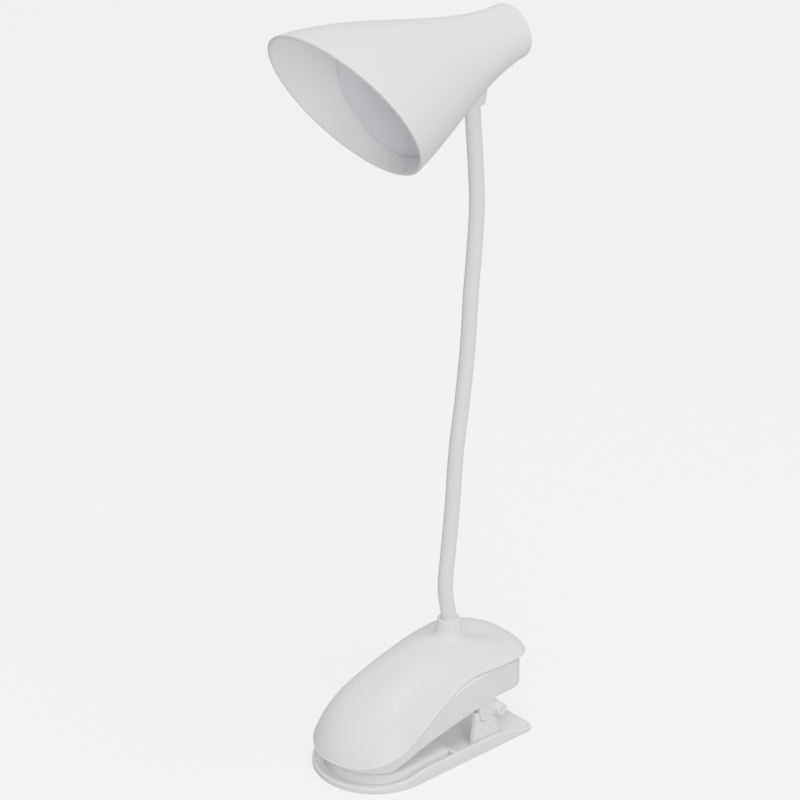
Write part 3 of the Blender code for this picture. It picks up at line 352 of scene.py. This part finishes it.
pad_rings = [pad_ring(0, pad_low.z), pad_ring(0, (pad_low.z + pad_high.z) / 2)]
for a in quarter(5):
    pad_rings.append(pad_ring(pad_round * (1 - math.cos(a)), pad_high.z - pad_round * (1 - math.sin(a))))
pad_rings.append(pad_ring(pad_flat, pad_high.z))
lower_pad = shown("grip_pad_below", lofted(pad_rings), pad_silicone)
fixed(lower_pad, "lower_jaw", "pad_silicone", "lower_grip_pad")

upper_low, upper_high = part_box("upper_grip_pad")
nose_y = tray_low.y + tray_half


def crescent(inset, level):
    """The round nose as far as a straight rear edge."""
    radius = upper_high.x - inset
    reach = math.degrees(math.asin((upper_high.y - inset - nose_y) / radius))
    return [(x, y, level) for x, y in arc(0, nose_y, radius, -180 - reach, reach, 60)]


upper_pad = shown("grip_pad_above", lofted([
    crescent(pad_edge, upper_low.z), crescent(pad_edge / 4, upper_low.z + pad_edge / 4),
    crescent(0, upper_low.z + pad_edge), crescent(0, upper_high.z),
]), pad_silicone)
fixed(upper_pad, "upper_jaw", "pad_silicone", "upper_grip_pad")


# Hinge barrel and its caps.
# A plastic sleeve runs through the tray's lugs on a plated steel pin, and a round cap with a
# softened rim closes each end.

on_axis = 1e-6


def turned(profile, place, steps=64):
    """A closed piece turned about Z from (radius, height) pairs that start and end on the axis."""
    rings = []
    for radius, height in profile:
        angles = [math.tau * i / steps for i in range(steps)]
        rings.append([(radius * math.cos(a), radius * math.sin(a), height) for a in angles])
    mesh = lofted(rings)
    bmesh.ops.remove_doubles(mesh, verts=mesh.verts, dist=1e-7)
    mesh.transform(place)
    return mesh


def across(x, y, z, towards):
    """A placement whose Z runs along X, or against it where towards is -1."""
    return Matrix.Translation((x, y, z)) @ Matrix.Rotation(math.radians(90 * towards), 4, "Y")


barrel_half = barrel_high.x
barrel_length = 2 * barrel_half
barrel_edge = 0.0003
cap_edge = 0.0006
cap_dimple = 0.00012
barrel = shown("hinge_barrel", turned([
    (on_axis, 0), (barrel_radius - barrel_edge, 0), (barrel_radius, barrel_edge),
    (barrel_radius, barrel_length - barrel_edge), (barrel_radius - barrel_edge, barrel_length),
    (on_axis, barrel_length),
], across(-barrel_half, hinge_y, hinge_z, 1)), white_plastic)
fixed(barrel, "lower_jaw", "white_abs", "hinge_sleeve")
for side, label in ((-1, "left"), (1, "right")):
    cap_low, cap_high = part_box(f"pin_cap_{label}")
    thick = cap_high.x - cap_low.x
    face = [
        (barrel_radius - cap_edge * (1 - math.cos(a)), thick - cap_edge * (1 - math.sin(a)))
        for a in quarter(6)
    ]
    inner_x = cap_low.x if side > 0 else cap_high.x
    cap = shown(f"barrel_cap_{label}", turned([
        (on_axis, 0), (barrel_radius, 0), *face, (barrel_radius * 0.55, thick),
        (barrel_radius * 0.5, thick - cap_dimple), (on_axis, thick - cap_dimple),
    ], across(inner_x, hinge_y, hinge_z, side)), white_plastic)
    fixed(cap, "lower_jaw", "white_abs", f"pin_cap_{label}")


# Torsion spring.
# Plated spring wire wound round the barrel, with one leg on the tray's floor and the other under the casing.

def pipe(points, radius, sides):
    """A mesh tube along points, carried round its bends without twisting."""
    points = [Vector(point) for point in points]
    rings = []
    normal = None
    for i, point in enumerate(points):
        along = (points[min(i + 1, len(points) - 1)] - points[max(i - 1, 0)]).normalized()
        if normal is None:
            normal = along.orthogonal().normalized()
        normal = (normal - along * normal.dot(along)).normalized()
        side = along.cross(normal)
        rings.append([
            point + radius * (math.cos(a) * normal + math.sin(a) * side)
            for a in [math.tau * k / sides for k in range(sides)]
        ])
    return lofted(rings)


spring_steel = moulded("spring_steel", (0.56, 0.56, 0.57), 0.3, grain=0.0002, depth=0.00001, metallic=1.0)
wire_radius = 0.00065
spring_turns = 6
coil_half = 0.0195 / 2
coil_play = 0.0006
coil_radius = barrel_radius + gap + coil_play + wire_radius
belly_rear_z = 0.0268
leg_floor = tray_floor + wire_radius + gap
leg_roof = belly_rear_z - wire_radius - gap
sweep = math.tau * spring_turns + math.pi
coil_steps = 36 * spring_turns
lower_leg_end, lower_leg_bend, lower_leg_lift = 0.017, 0.010, 0.0008
upper_leg_end, upper_leg_bend = 0.014, 0.008
spring_points = [
    (coil_half, hinge_y + lower_leg_end, leg_floor),
    (coil_half, hinge_y + lower_leg_bend, leg_floor + lower_leg_lift),
]
for i in range(coil_steps + 1):
    a = math.radians(270) - sweep * i / coil_steps
    x = coil_half - 2 * coil_half * i / coil_steps
    spring_points.append((x, hinge_y + coil_radius * math.cos(a), hinge_z + coil_radius * math.sin(a)))
spring_points += [
    (-coil_half, hinge_y + upper_leg_bend, leg_roof - 0.0006),
    (-coil_half, hinge_y + upper_leg_end, leg_roof - 0.0001),
]
spring = shown("clip_spring", pipe(spring_points, wire_radius, 12), spring_steel, 60)
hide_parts("torsion_spring")
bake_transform(spring)


# Bottom casing.
# The lower half of the upper jaw, moulded in ABS: a lip that closes on the tray, side walls that
# climb to the shell's edge, two lobes that rest in the towers and two hooks over the barrel. Its top
# edge stands inside the shell, so the shell's form is laid out here: a lower edge that climbs from
# the nose, a crown line along the middle, and a thumb dish behind the collar.

shell_low, shell_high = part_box("top_shell")
shell_half = shell_high.x
shell_front = shell_low.y
shell_rear = shell_high.y
shell_wall = 0.0020
shell_tail_radius = 0.026
shoulder_power = 1.43
spine_front = shell_front + 0.0241
spine_rear = shell_rear - 0.0163
form_front_z, form_rear_z, form_end_y = 0.0112, 0.0414, 0.045
edge_front_z, edge_rear_z, edge_end_y = 0.0134, 0.0448, 0.0234
tail_drop, tail_y = 0.0032, 0.040
crown_top, crown_y, crown_length = 0.0568, 0.0124, 0.040
crown_fall_front, crown_fall_rear = 0.0122, 0.0086
dish_y, dish_depth, dish_radius = 0.0435, 0.0030, 0.0130


def form_z(y):
    """The level at which the dome's sides stand upright."""
    climb = smooth((y - shell_front) / (form_end_y - shell_front))
    return form_front_z + (form_rear_z - form_front_z) * climb


def edge_z(y):
    """The shell's lower edge."""
    climb = smooth((y - shell_front) / (edge_end_y - shell_front))
    tail = smooth((y - tail_y) / (shell_rear - tail_y))
    return edge_front_z + (edge_rear_z - edge_front_z) * climb - tail_drop * tail


def crown_z(y):
    fall = crown_fall_front if y < crown_y else crown_fall_rear
    return crown_top - fall * ((y - crown_y) / crown_length) ** 2


def dish(x, y):
    return dish_depth * math.exp(-(x * x + (y - dish_y) ** 2) / dish_radius ** 2)


def spine_point(y, inset):
    """The place on the crown line to which an outline's point at y climbs."""
    share = (y - shell_front - inset) / (shell_rear - shell_front - 2 * inset)
    return spine_front + (spine_rear - spine_front) * share


def form_point(x, y, inset, thinner, angle):
    """A point of the form, an angle of 0 to a quarter turn up from the outline's point."""
    spine_y = spine_point(y, inset)
    inward = 1 - math.cos(angle)
    rise = max(0.0, math.sin(angle)) ** (2 / shoulder_power)
    px = x * (1 - inward)
    py = y + (spine_y - y) * inward
    low = form_z(y)
    return px, py, low + (crown_z(spine_y) - thinner - low) * rise - dish(px, py) * rise


def form_angle(y, inset, thinner, level):
    """The angle at which the form reaches a level."""
    low = form_z(y)
    rise = (level - low) / (crown_z(spine_point(y, inset)) - thinner - low)
    return math.asin(min(1.0, max(0.0, rise)) ** (shoulder_power / 2))


def shell_outline(inset):
    return plan_outline(shell_half, shell_front, shell_rear, shell_tail_radius, inset)


lip_z, lip_end_y = 0.0092, -0.037
belly_rear_y, belly_bend = 0.034, 0.62
casing_front_y = shell_front + casing_inset
casing_setback = 0.0105
casing_rear_y = shell_rear - casing_setback
casing_corner = 0.010
casing_wall = 0.0018
casing_flat = 0.009
belly_round = 0.0014
step_drop = 0.0016


def belly_z(y):
    """The casing's underside, level under the lip and then climbing."""
    share = min(1.0, max(0.0, (y - lip_end_y) / (belly_rear_y - lip_end_y)))
    return lip_z + (belly_rear_z - lip_z) * share ** belly_bend


def above_belly(height):
    return lambda y: belly_z(y) + height


def casing_ring(inset, level):
    return lifted(plan_outline(casing_half, casing_front_y, casing_rear_y, casing_corner, inset), level)


def ledge_ring(inset, height):
    """A ring just inside the shell's wall, at a height above its edge."""
    ring = []
    for x, y in shell_outline(inset):
        level = edge_z(y) + height
        angle = form_angle(y, inset, inset, max(level, form_z(y)))
        px, py, _ = form_point(x, y, inset, inset, angle)
        ring.append((px, py, level))
    return ring


def cut(made, tool, operation):
    """A Boolean that is applied at once, after which the tool is gone."""
    modifier = made.modifiers.new("cut", "BOOLEAN")
    modifier.operation = operation
    modifier.object = tool
    bpy.context.view_layer.update()
    graph = bpy.context.evaluated_depsgraph_get()
    data = bpy.data.meshes.new_from_object(made.evaluated_get(graph))
    made.modifiers.remove(modifier)
    made.data = data
    bpy.data.objects.remove(tool)


ledge = shell_wall + 3 * gap
tuck = 0.0008
ledge_wall = 0.0016
inside = casing_wall + ledge_wall
floor_bevel, floor_bevel_reach = 0.0006, 0.0010
casing_rings = [casing_ring(casing_flat, belly_z)]
for a in quarter(5):
    up = belly_round * (1 - math.cos(a))
    casing_rings.append(casing_ring(belly_round * (1 - math.sin(a)), above_belly(up)))
for share in (0.3, 0.6, 1.0):
    casing_rings.append(casing_ring(0, lambda y, s=share: (
        (belly_z(y) + belly_round) * (1 - s) + (edge_z(y) - step_drop) * s
    )))
casing_rings += [
    ledge_ring(ledge, -2 * gap), ledge_ring(ledge, tuck), casing_ring(inside, edge_z),
    casing_ring(inside, above_belly(casing_wall + floor_bevel)),
    casing_ring(inside + floor_bevel_reach, above_belly(casing_wall)),
    casing_ring(casing_flat, above_belly(casing_wall)),
]
casing = shown("casing", lofted(casing_rings), white_plastic, 40)
socket_low, socket_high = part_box("usb_socket")
slot_gap = 0.0004
slot_half = (socket_high.z - socket_low.z) / 2 + slot_gap
slot_reach = socket_high.x + slot_gap - slot_half
slot_depth = 0.006
slot_side = arc(slot_reach, (socket_low.z + socket_high.z) / 2, slot_half, -90, 90, 12)
slot_outline = slot_side + [(-x, z) for x, z in reversed(slot_side)]
slot_rings = [[(x, y, z) for x, z in slot_outline] for y in (casing_rear_y - slot_depth, shell_rear)]
cut(casing, shown("slot", lofted(slot_rings), white_plastic), "DIFFERENCE")
softened(casing.data, 40)
fixed(casing, "upper_jaw", "white_abs", "bottom_casing")

hook_outer = lug_inner - gap
hook_inner = hook_outer - ear_thick
ear_top = belly_rear_z + casing_wall / 2
lobe_front = lobe_y - lobe_radius
lobe_spread = 0.0006
lobe_outline = [
    (lobe_front - lobe_spread, belly_z(lobe_front) + casing_wall / 2),
    *arc(lobe_y, lobe_z, lobe_radius, 180, 360, 28),
    (lobe_y + lobe_radius + 0.0004, ear_top), (lobe_front - lobe_spread, ear_top),
]
hook_spread = 0.0016
hook_root = lug_reach + hook_spread
hook_outline = [
    (hinge_y - lug_reach, hinge_z), *arc(hinge_y, hinge_z, barrel_radius + gap, 180, 0, 24),
    (hinge_y + lug_reach, hinge_z), (hinge_y + hook_root, ear_top), (hinge_y - hook_root, ear_top),
]
for side, label in ((-1, "left"), (1, "right")):
    lobe_x = sorted((side * lobe_outer, side * lobe_inner))
    hook_x = sorted((side * hook_outer, side * hook_inner))
    fixed(slab(f"lobe_{label}", lobe_outline, *lobe_x), "upper_jaw", "white_abs")
    fixed(slab(f"hinge_hook_{label}", hook_outline, *hook_x), "upper_jaw", "white_abs")


# Top shell.
# One satin ABS dome over the cell and the board, with a rounded lower edge that overhangs the
# casing at the nose and at the press end, and a round hole for the button in its thumb dish.

def dome_ring(inset, share):
    """A ring of the dome: share runs from its lower edge up to the crown line."""
    ring = []
    for x, y in shell_outline(inset):
        start = form_angle(y, inset, inset, edge_z(y))
        ring.append(form_point(x, y, inset, inset, start + (math.pi / 2 - start) * share))
    return ring


def eased(rings, middle_y, bulged_to=None):
    """The rings levelled out round a point of the crown line, over a bulge up to a y if given."""
    surface = bmesh.new()
    made = [[surface.verts.new(p) for p in ring if bulged_to is None or p[1] < bulged_to] for ring in rings]
    if bulged_to is None:
        skin(surface, made)
    else:
        bmesh.ops.convex_hull(surface, input=surface.verts)
    tree = BVHTree.FromBMesh(surface)
    surface.free()
    eighths = [math.tau * k / 8 for k in range(8)]
    spots = [(0.0, 0.0)] + [(r * math.cos(a), r * math.sin(a)) for r in (0.002, 0.004) for a in eighths]
    reach, fade = 0.022, 0.012
    off_middle = 0.00002  # a ray down the crown line itself can slip between two faces
    above, down = 0.1, Vector((0, 0, -1))
    made = []
    for ring in rings:
        row = []
        for x, y, z in ring:
            share = smooth((reach - math.hypot(x, y - middle_y)) / fade)
            if share > 0:
                side = max(abs(x), off_middle)
                hits = [tree.ray_cast(Vector((side + dx, y + dy, above)), down)[0] for dx, dy in spots]
                levels = [hit.z for hit in hits if hit]
                z += (sum(levels) / len(levels) - z) * share
            row.append((x, y, z))
        made.append(row)
    return made


outer_steps, inner_steps, edge_steps = 44, 14, 6
edge_round = 0.0007
nose_bulge_y, nose_bulge_end = spine_front + 0.002, 0.010
row_bend = 0.9
dome_outer = [dome_ring(0, (k / outer_steps) ** row_bend) for k in range(outer_steps, 0, -1)]
dome_outer = eased(eased(dome_outer, nose_bulge_y, nose_bulge_end), spine_rear)
dome_inner = [dome_ring(shell_wall, k / inner_steps) for k in range(1, inner_steps + 1)]
edge_rings = []
for i in range(edge_steps + 1):
    a = math.pi * i / edge_steps
    rounded = dome_ring(shell_wall / 2 * (1 - math.cos(a)), 0)
    edge_rings.append([(x, y, z + edge_round * (1 - math.sin(a))) for x, y, z in rounded])
mesh = bmesh.new()
skin(mesh, [[mesh.verts.new(p) for p in ring] for ring in dome_outer + edge_rings + dome_inner])
bmesh.ops.remove_doubles(mesh, verts=mesh.verts, dist=2e-6)
shell = shown("shell", mesh, white_plastic)
button = shell.copy()
button.data = shell.data.copy()
button.name = "button_cap"
bpy.context.scene.collection.objects.link(button)

button_tilt = math.radians(16)
button_radius = 0.0062
button_play = 0.00022
button_face = Vector((0, dish_y, crown_z(dish_y) - dish_depth))
button_place = Matrix.Translation(button_face) @ Matrix.Rotation(-button_tilt, 4, "X")


def key_cutter(radius):
    """A cylinder square to the thumb dish, from inside the shell to above it."""
    low, high = -0.006, 0.005
    profile = [(on_axis, low), (radius, low), (radius, high), (on_axis, high)]
    return shown("key_cutter", turned(profile, button_place, 72), white_plastic)


cut(shell, key_cutter(button_radius + button_play), "DIFFERENCE")
softened(shell.data, 50)
fixed(shell, "upper_jaw", "white_abs", "top_shell")


# Power button.
# A round key cut from the same surface as the thumb dish, which slides on a stem down to the
# switch on the circuit board.

cut(button, key_cutter(button_radius), "INTERSECT")
softened(button.data, 40)
fixed(button, "button", "white_abs", "power_button")
stem_low, stem_high, stem_radius = -0.0061, -0.0010, 0.0018
stem = shown("button_stem", turned([
    (on_axis, stem_low), (stem_radius, stem_low), (stem_radius, stem_high), (on_axis, stem_high),
], button_place, 32), white_plastic)
fixed(stem, "button", "white_abs")


# Collar.
# A short ABS turret moulded with the shell that holds the foot of the neck. It tapers upwards and
# flows into the dome with a wide fillet.

bush_low, bush_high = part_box("neck_bush")
collar_y = (bush_low.y + bush_high.y) / 2
collar_top = shell_high.z
collar_top_radius, collar_base_radius = 0.0062, 0.0070
collar_fillet = 0.0042
collar_sunk = 0.00015
collar_round = 0.0007
neck_radius = 0.0041
neck_play = 0.0002
bore_depth = 0.0080


def dome_height(x, y):
    """The level of the dome's outside above a place near the crown line."""
    rise = (1 - (x / shell_half) ** 2) ** (1 / shoulder_power)
    outline_y = shell_front + (y - spine_front) / (spine_rear - spine_front) * (shell_rear - shell_front)
    low = form_z(outline_y)
    return low + (crown_z(y) - low) * rise - dish(x, y) * rise


def collar_ring(radius, height):
    """A ring round the collar's middle, its height a number or a function of x and y."""
    ring = []
    for i in range(96):
        x = radius * math.cos(math.tau * i / 96)
        y = collar_y + radius * math.sin(math.tau * i / 96)
        ring.append((x, y, height(x, y) if callable(height) else height))
    return ring


collar_rings = []
for a in quarter(10):
    up = collar_fillet * (1 - math.cos(a)) - collar_sunk
    radius = collar_base_radius + collar_fillet * (1 - math.sin(a))
    collar_rings.append(collar_ring(radius, lambda x, y, up=up: dome_height(x, y) + up))
for a in quarter(6):
    radius = collar_top_radius - collar_round * (1 - math.cos(a))
    collar_rings.append(collar_ring(radius, collar_top - collar_round * (1 - math.sin(a))))
bore_radius = neck_radius + neck_play
bore_bevel = 0.0003
collar_rings += [
    collar_ring(bore_radius + neck_play, collar_top), collar_ring(bore_radius, collar_top - bore_bevel),
    collar_ring(bore_radius, collar_top - bore_depth),
]
mesh = bmesh.new()
skin(mesh, [[mesh.verts.new(p) for p in ring] for ring in collar_rings], closed=True)
collar = shown("neck_collar", mesh, white_plastic, 60)
fixed(collar, "upper_jaw", "white_abs")


# Neck.
# A flexible spiral core in a smooth matt silicone sleeve. The sleeve is one tube on the real lamp; each
# length here runs from the middle of one link to the middle of the next.

neck_silicone = moulded("neck_silicone", (0.735, 0.735, 0.74), 0.62, grain=0.0005, depth=0.00002)
link_count = 8
link_share = 1 / link_count
neck_foot_share = -0.014
neck_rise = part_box(f"neck_sleeve_{link_count}")[1].z - collar_top
neck_knots = (  # the share of the rise, and how far the neck sways back there
    (0, 0), (0.065, -0.0028), (0.14, -0.0008), (0.237, 0.0020), (0.335, 0.0042), (0.434, 0.0083),
    (0.537, 0.0117), (0.631, 0.0134), (0.72, 0.0157), (0.80, 0.0171), (0.868, 0.0162), (0.947, 0.0144),
    (1, 0.0133),
)


def neck_point(share):
    """The neck's centre line: a smooth curve through its gentle sway."""
    knots = neck_knots
    i = max(0, min(len(knots) - 2, sum(share > knot[0] for knot in knots) - 1))
    before = knots[max(i - 1, 0)]
    after = knots[min(i + 2, len(knots) - 1)]
    (s0, y0), (s1, y1) = knots[i], knots[i + 1]
    slope0 = (y1 - before[1]) / (s1 - before[0])
    slope1 = (after[1] - y0) / (after[0] - s0)
    width = s1 - s0
    t = (share - s0) / width
    y = (
        y0 * (1 + 2 * t) * (1 - t) ** 2 + slope0 * width * t * (1 - t) ** 2
        + y1 * t * t * (3 - 2 * t) + slope1 * width * t * t * (t - 1)
    )
    return Vector((0, collar_y + y, collar_top + neck_rise * share))


def sleeve_length(name, start, end, steps):
    """A length of the sleeve between two shares of the neck's rise."""
    route = [neck_point(start + (end - start) * i / steps) for i in range(steps + 1)]
    return shown(name, pipe(route, neck_radius, 40), neck_silicone, 60)


neck_bodies = ["upper_jaw"] + [f"neck_link_{number + 1}" for number in range(link_count)]
for number in range(link_count):
    start = (number - 0.5) * link_share if number else neck_foot_share
    sleeve = sleeve_length(f"sleeve_{number + 1}", start, (number + 0.5) * link_share, 40)
    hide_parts(f"neck_sleeve_{number + 1}")
    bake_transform(sleeve)
top_length = sleeve_length("sleeve_top", 1 - link_share / 2, 1, 24)
fixed(top_length, neck_bodies[-1], "neck_silicone")


# Lamp shade.
# A thin white ABS bell that opens from a round closed tail to a wide oval mouth cut on a slant,
# moulded in one piece, with its rim softened.

shade_tilt = math.radians(8.2)
shade_length = 0.1282
tail_radius, mouth_radius = 0.0146, 0.0437
flare_bend = 0.93
mouth_widening, widening_power = 0.20, 1.2
mouth_lift = 0.0043
shade_wall = 0.0018
socket_share, socket_drop = 0.2096, 0.0266
mouth_slant, mouth_middle = math.radians(30.2), 0.840
shade_axis = Vector((0, -math.cos(shade_tilt), -math.sin(shade_tilt)))
shade_up = Vector((0, shade_axis.z, -shade_axis.y))
neck_top = neck_point(1.0)
shade_tail = neck_top + Vector((0, 0, socket_drop)) - shade_axis * shade_length * socket_share
mouth_facing = Vector((0, -math.cos(mouth_slant), -math.sin(mouth_slant)))


def shade_radius(share):
    return tail_radius + (mouth_radius - tail_radius) * smooth(max(share, 0) ** flare_bend)


def shade_point(share, angle, thinner=0.0, radius=None):
    """A point of the shade's surface: share runs from tail to mouth, the angle round the axis."""
    reach = (shade_radius(share) if radius is None else radius) - thinner
    centre = shade_tail + shade_axis * shade_length * share + shade_up * mouth_lift * share ** 2
    wide = 1 + mouth_widening * max(share, 0) ** widening_power
    return centre + Vector((reach * wide * math.cos(angle), 0, 0)) + shade_up * reach * math.sin(angle)


def mouth_share(angle):
    """Where the mouth's slanting plane cuts the surface at an angle, by halving."""
    on_plane = shade_tail + shade_axis * shade_length * mouth_middle
    low, high = 0.3, 1.0
    for _ in range(40):
        middle = (low + high) / 2
        if (shade_point(middle, angle) - on_plane).dot(mouth_facing) < 0:
            low = middle
        else:
            high = middle
    return low


around = [math.tau * i / 160 for i in range(160)]
rim_depth = 0.2 * shade_wall / shade_length
rim_starts = [mouth_share(t) - rim_depth for t in around]
tail_round = 0.0014
tail_share = tail_round / shade_length
tail_inside = (shade_wall + 0.0006) / shade_length
tail_steps, shade_rows, rim_steps = 6, 56, 8
shade_rings = []
for a in reversed(quarter(tail_steps)[:-1]):
    radius = tail_radius - tail_round * (1 - math.cos(a))
    shade_rings.append([shade_point(tail_share * (1 - math.sin(a)), t, 0, radius) for t in around])
for k in range(shade_rows + 1):
    along = k / shade_rows
    shade_rings.append([
        shade_point(tail_share + (end - tail_share) * along, t) for t, end in zip(around, rim_starts)
    ])
for i in range(1, rim_steps):
    a = math.pi * i / rim_steps
    inward = shade_wall / 2 * (1 - math.cos(a))
    shade_rings.append([
        shade_point(end + rim_depth * math.sin(a), t, inward) for t, end in zip(around, rim_starts)
    ])
for k in range(shade_rows + 1):
    along = k / shade_rows
    shade_rings.append([
        shade_point(end + (tail_inside - end - rim_depth) * along, t, shade_wall)
        for t, end in zip(around, rim_starts)
    ])
shade = shown("shade", lofted(shade_rings), white_plastic)
fixed(shade, "neck_link_8", "white_abs", "lamp_shade")


# Neck socket.
# A short ABS boss under the shade that grips the top of the neck. It is held through the shade's
# wall by a spigot and a plated nut.

boss_radius, boss_taper = 0.0074, 0.0008
boss_low = -0.0010
boss_bore_end = 0.0012
seat = socket_drop - shade_radius(socket_share)
boss_top = seat + 0.0012
socket = shown("neck_boss", turned([
    (on_axis, boss_bore_end), (bore_radius, boss_bore_end), (bore_radius, boss_low + 0.0002),
    (bore_radius + 0.0003, boss_low), (boss_radius - 0.0016, boss_low),
    (boss_radius - 0.0010, boss_low + 0.0002), (boss_radius - boss_taper, boss_low + 0.0007),
    (boss_radius, seat - 0.003), (boss_radius, boss_top), (on_axis, boss_top),
], Matrix.Translation(neck_top), 96), white_plastic)
fixed(socket, "neck_link_8", "white_abs", "neck_socket")


# Diffuser.
# A domed disc of opal plastic with a slight blue cast, pressed into the shade in front of the
# lamp's board.

opal = moulded("opal", (0.74, 0.74, 0.83), 0.28, grain=0.0006, depth=0.00001)
lens_share = 0.64
lens_radius = shade_radius(lens_share) - shade_wall - 0.0001
lens_dome = 0.0050
lens_edge = lens_share - 0.0006 / shade_length
lens_back = lens_edge - 0.0020 / shade_length
back_radii = (0.004, lens_radius * 0.6, lens_radius - 0.0010)
lens_rings = [[shade_point(lens_back, t, 0, radius) for t in around] for radius in back_radii]
for a in quarter(20)[:-1]:
    ahead = lens_dome * math.sin(a) / shade_length
    lens_rings.append([shade_point(lens_edge + ahead, t, 0, lens_radius * math.cos(a)) for t in around])
diffuser = shown("opal_lens", lofted(lens_rings), opal)
fixed(diffuser, "neck_link_8", "opal_diffuser", "diffuser")


# Parts inside, which keep their own shapes.
# The hinge pin, cell, board, switch, charging socket, screws, bush, nuts, neck cores and the lamp's
# board are bought-in or turned parts. Each gets the finish that such a part has.

plated_brass = moulded("plated_brass", (0.66, 0.62, 0.50), 0.25, grain=0.0002, depth=0.00001, metallic=1.0)
solder_mask = moulded("solder_mask", (0.70, 0.72, 0.70), 0.4, grain=0.0003, depth=0.00001)
cell_wrap = moulded("cell_wrap", (0.10, 0.22, 0.42), 0.3, grain=0.0008, depth=0.00003)
lead_sleeve = moulded("lead_sleeve", (0.55, 0.08, 0.07), 0.45, grain=0.0003, depth=0.00001)
finishes = {
    "spring_steel": spring_steel, "plated_brass": plated_brass, "white_board": solder_mask,
    "cell_wrap": cell_wrap, "lead_sleeve": lead_sleeve, "white_abs": white_plastic,
    "neck_silicone": neck_silicone, "pad_silicone": pad_silicone, "opal_diffuser": opal,
}
for subpart in frame["record"]["subparts"]:
    kept = frame["nodes"][subpart["node"]]
    kept.data.materials.clear()
    kept.data.materials.append(finishes[subpart["material_slot"]])


# Floor and light.
# White paper under soft studio light: a softbox overhead, one from the right and a weak one from
# behind, in an even white surround. The paper glows so that it reads white, but it doesn't light
# the lamp or show in its gloss.

white = (1, 1, 1, 1)
floor_half = 6.0
floor_corners = [(x * floor_half, y * floor_half, 0) for x, y in ((-1, -1), (1, -1), (1, 1), (-1, 1))]
floor_data = bpy.data.meshes.new("floor")
floor_data.from_pydata(floor_corners, [], [(0, 1, 2, 3)])
floor = bpy.data.objects.new("floor", floor_data)
bpy.context.scene.collection.objects.link(floor)
floor_paper = moulded("floor_paper", (0.96, 0.96, 0.96), 0.85, grain=0.002, depth=0.00001, mottle=0.01)
paper_shader = floor_paper.node_tree.nodes["Principled BSDF"]
paper_shader.inputs["Emission Color"].default_value = white
paper_shader.inputs["Emission Strength"].default_value = 4.0
floor_data.materials.append(floor_paper)
floor.visible_diffuse = False
floor.visible_glossy = False


def softbox(name, place, size, power):
    """A square lamp that faces the middle of the object."""
    data = bpy.data.lights.new(name, "AREA")
    data.size = size
    data.energy = power
    made = bpy.data.objects.new(name, data)
    bpy.context.scene.collection.objects.link(made)
    made.location = place
    made.rotation_euler = (Vector(place) - Vector((0, 0, 0.2))).to_track_quat("Z", "Y").to_euler()


softbox("key", (0.6, -0.2, 2.3), 1.2, 112)
softbox("fill", (2.2, -0.9, 0.8), 1.0, 84)
softbox("back", (-1.2, 1.4, 1.4), 1.2, 14)
world = bpy.data.worlds.new("surround")
world.use_nodes = True
surround = world.node_tree.nodes["Background"]
surround.inputs["Color"].default_value = white
surround.inputs["Strength"].default_value = 0.66
bpy.context.scene.world = world
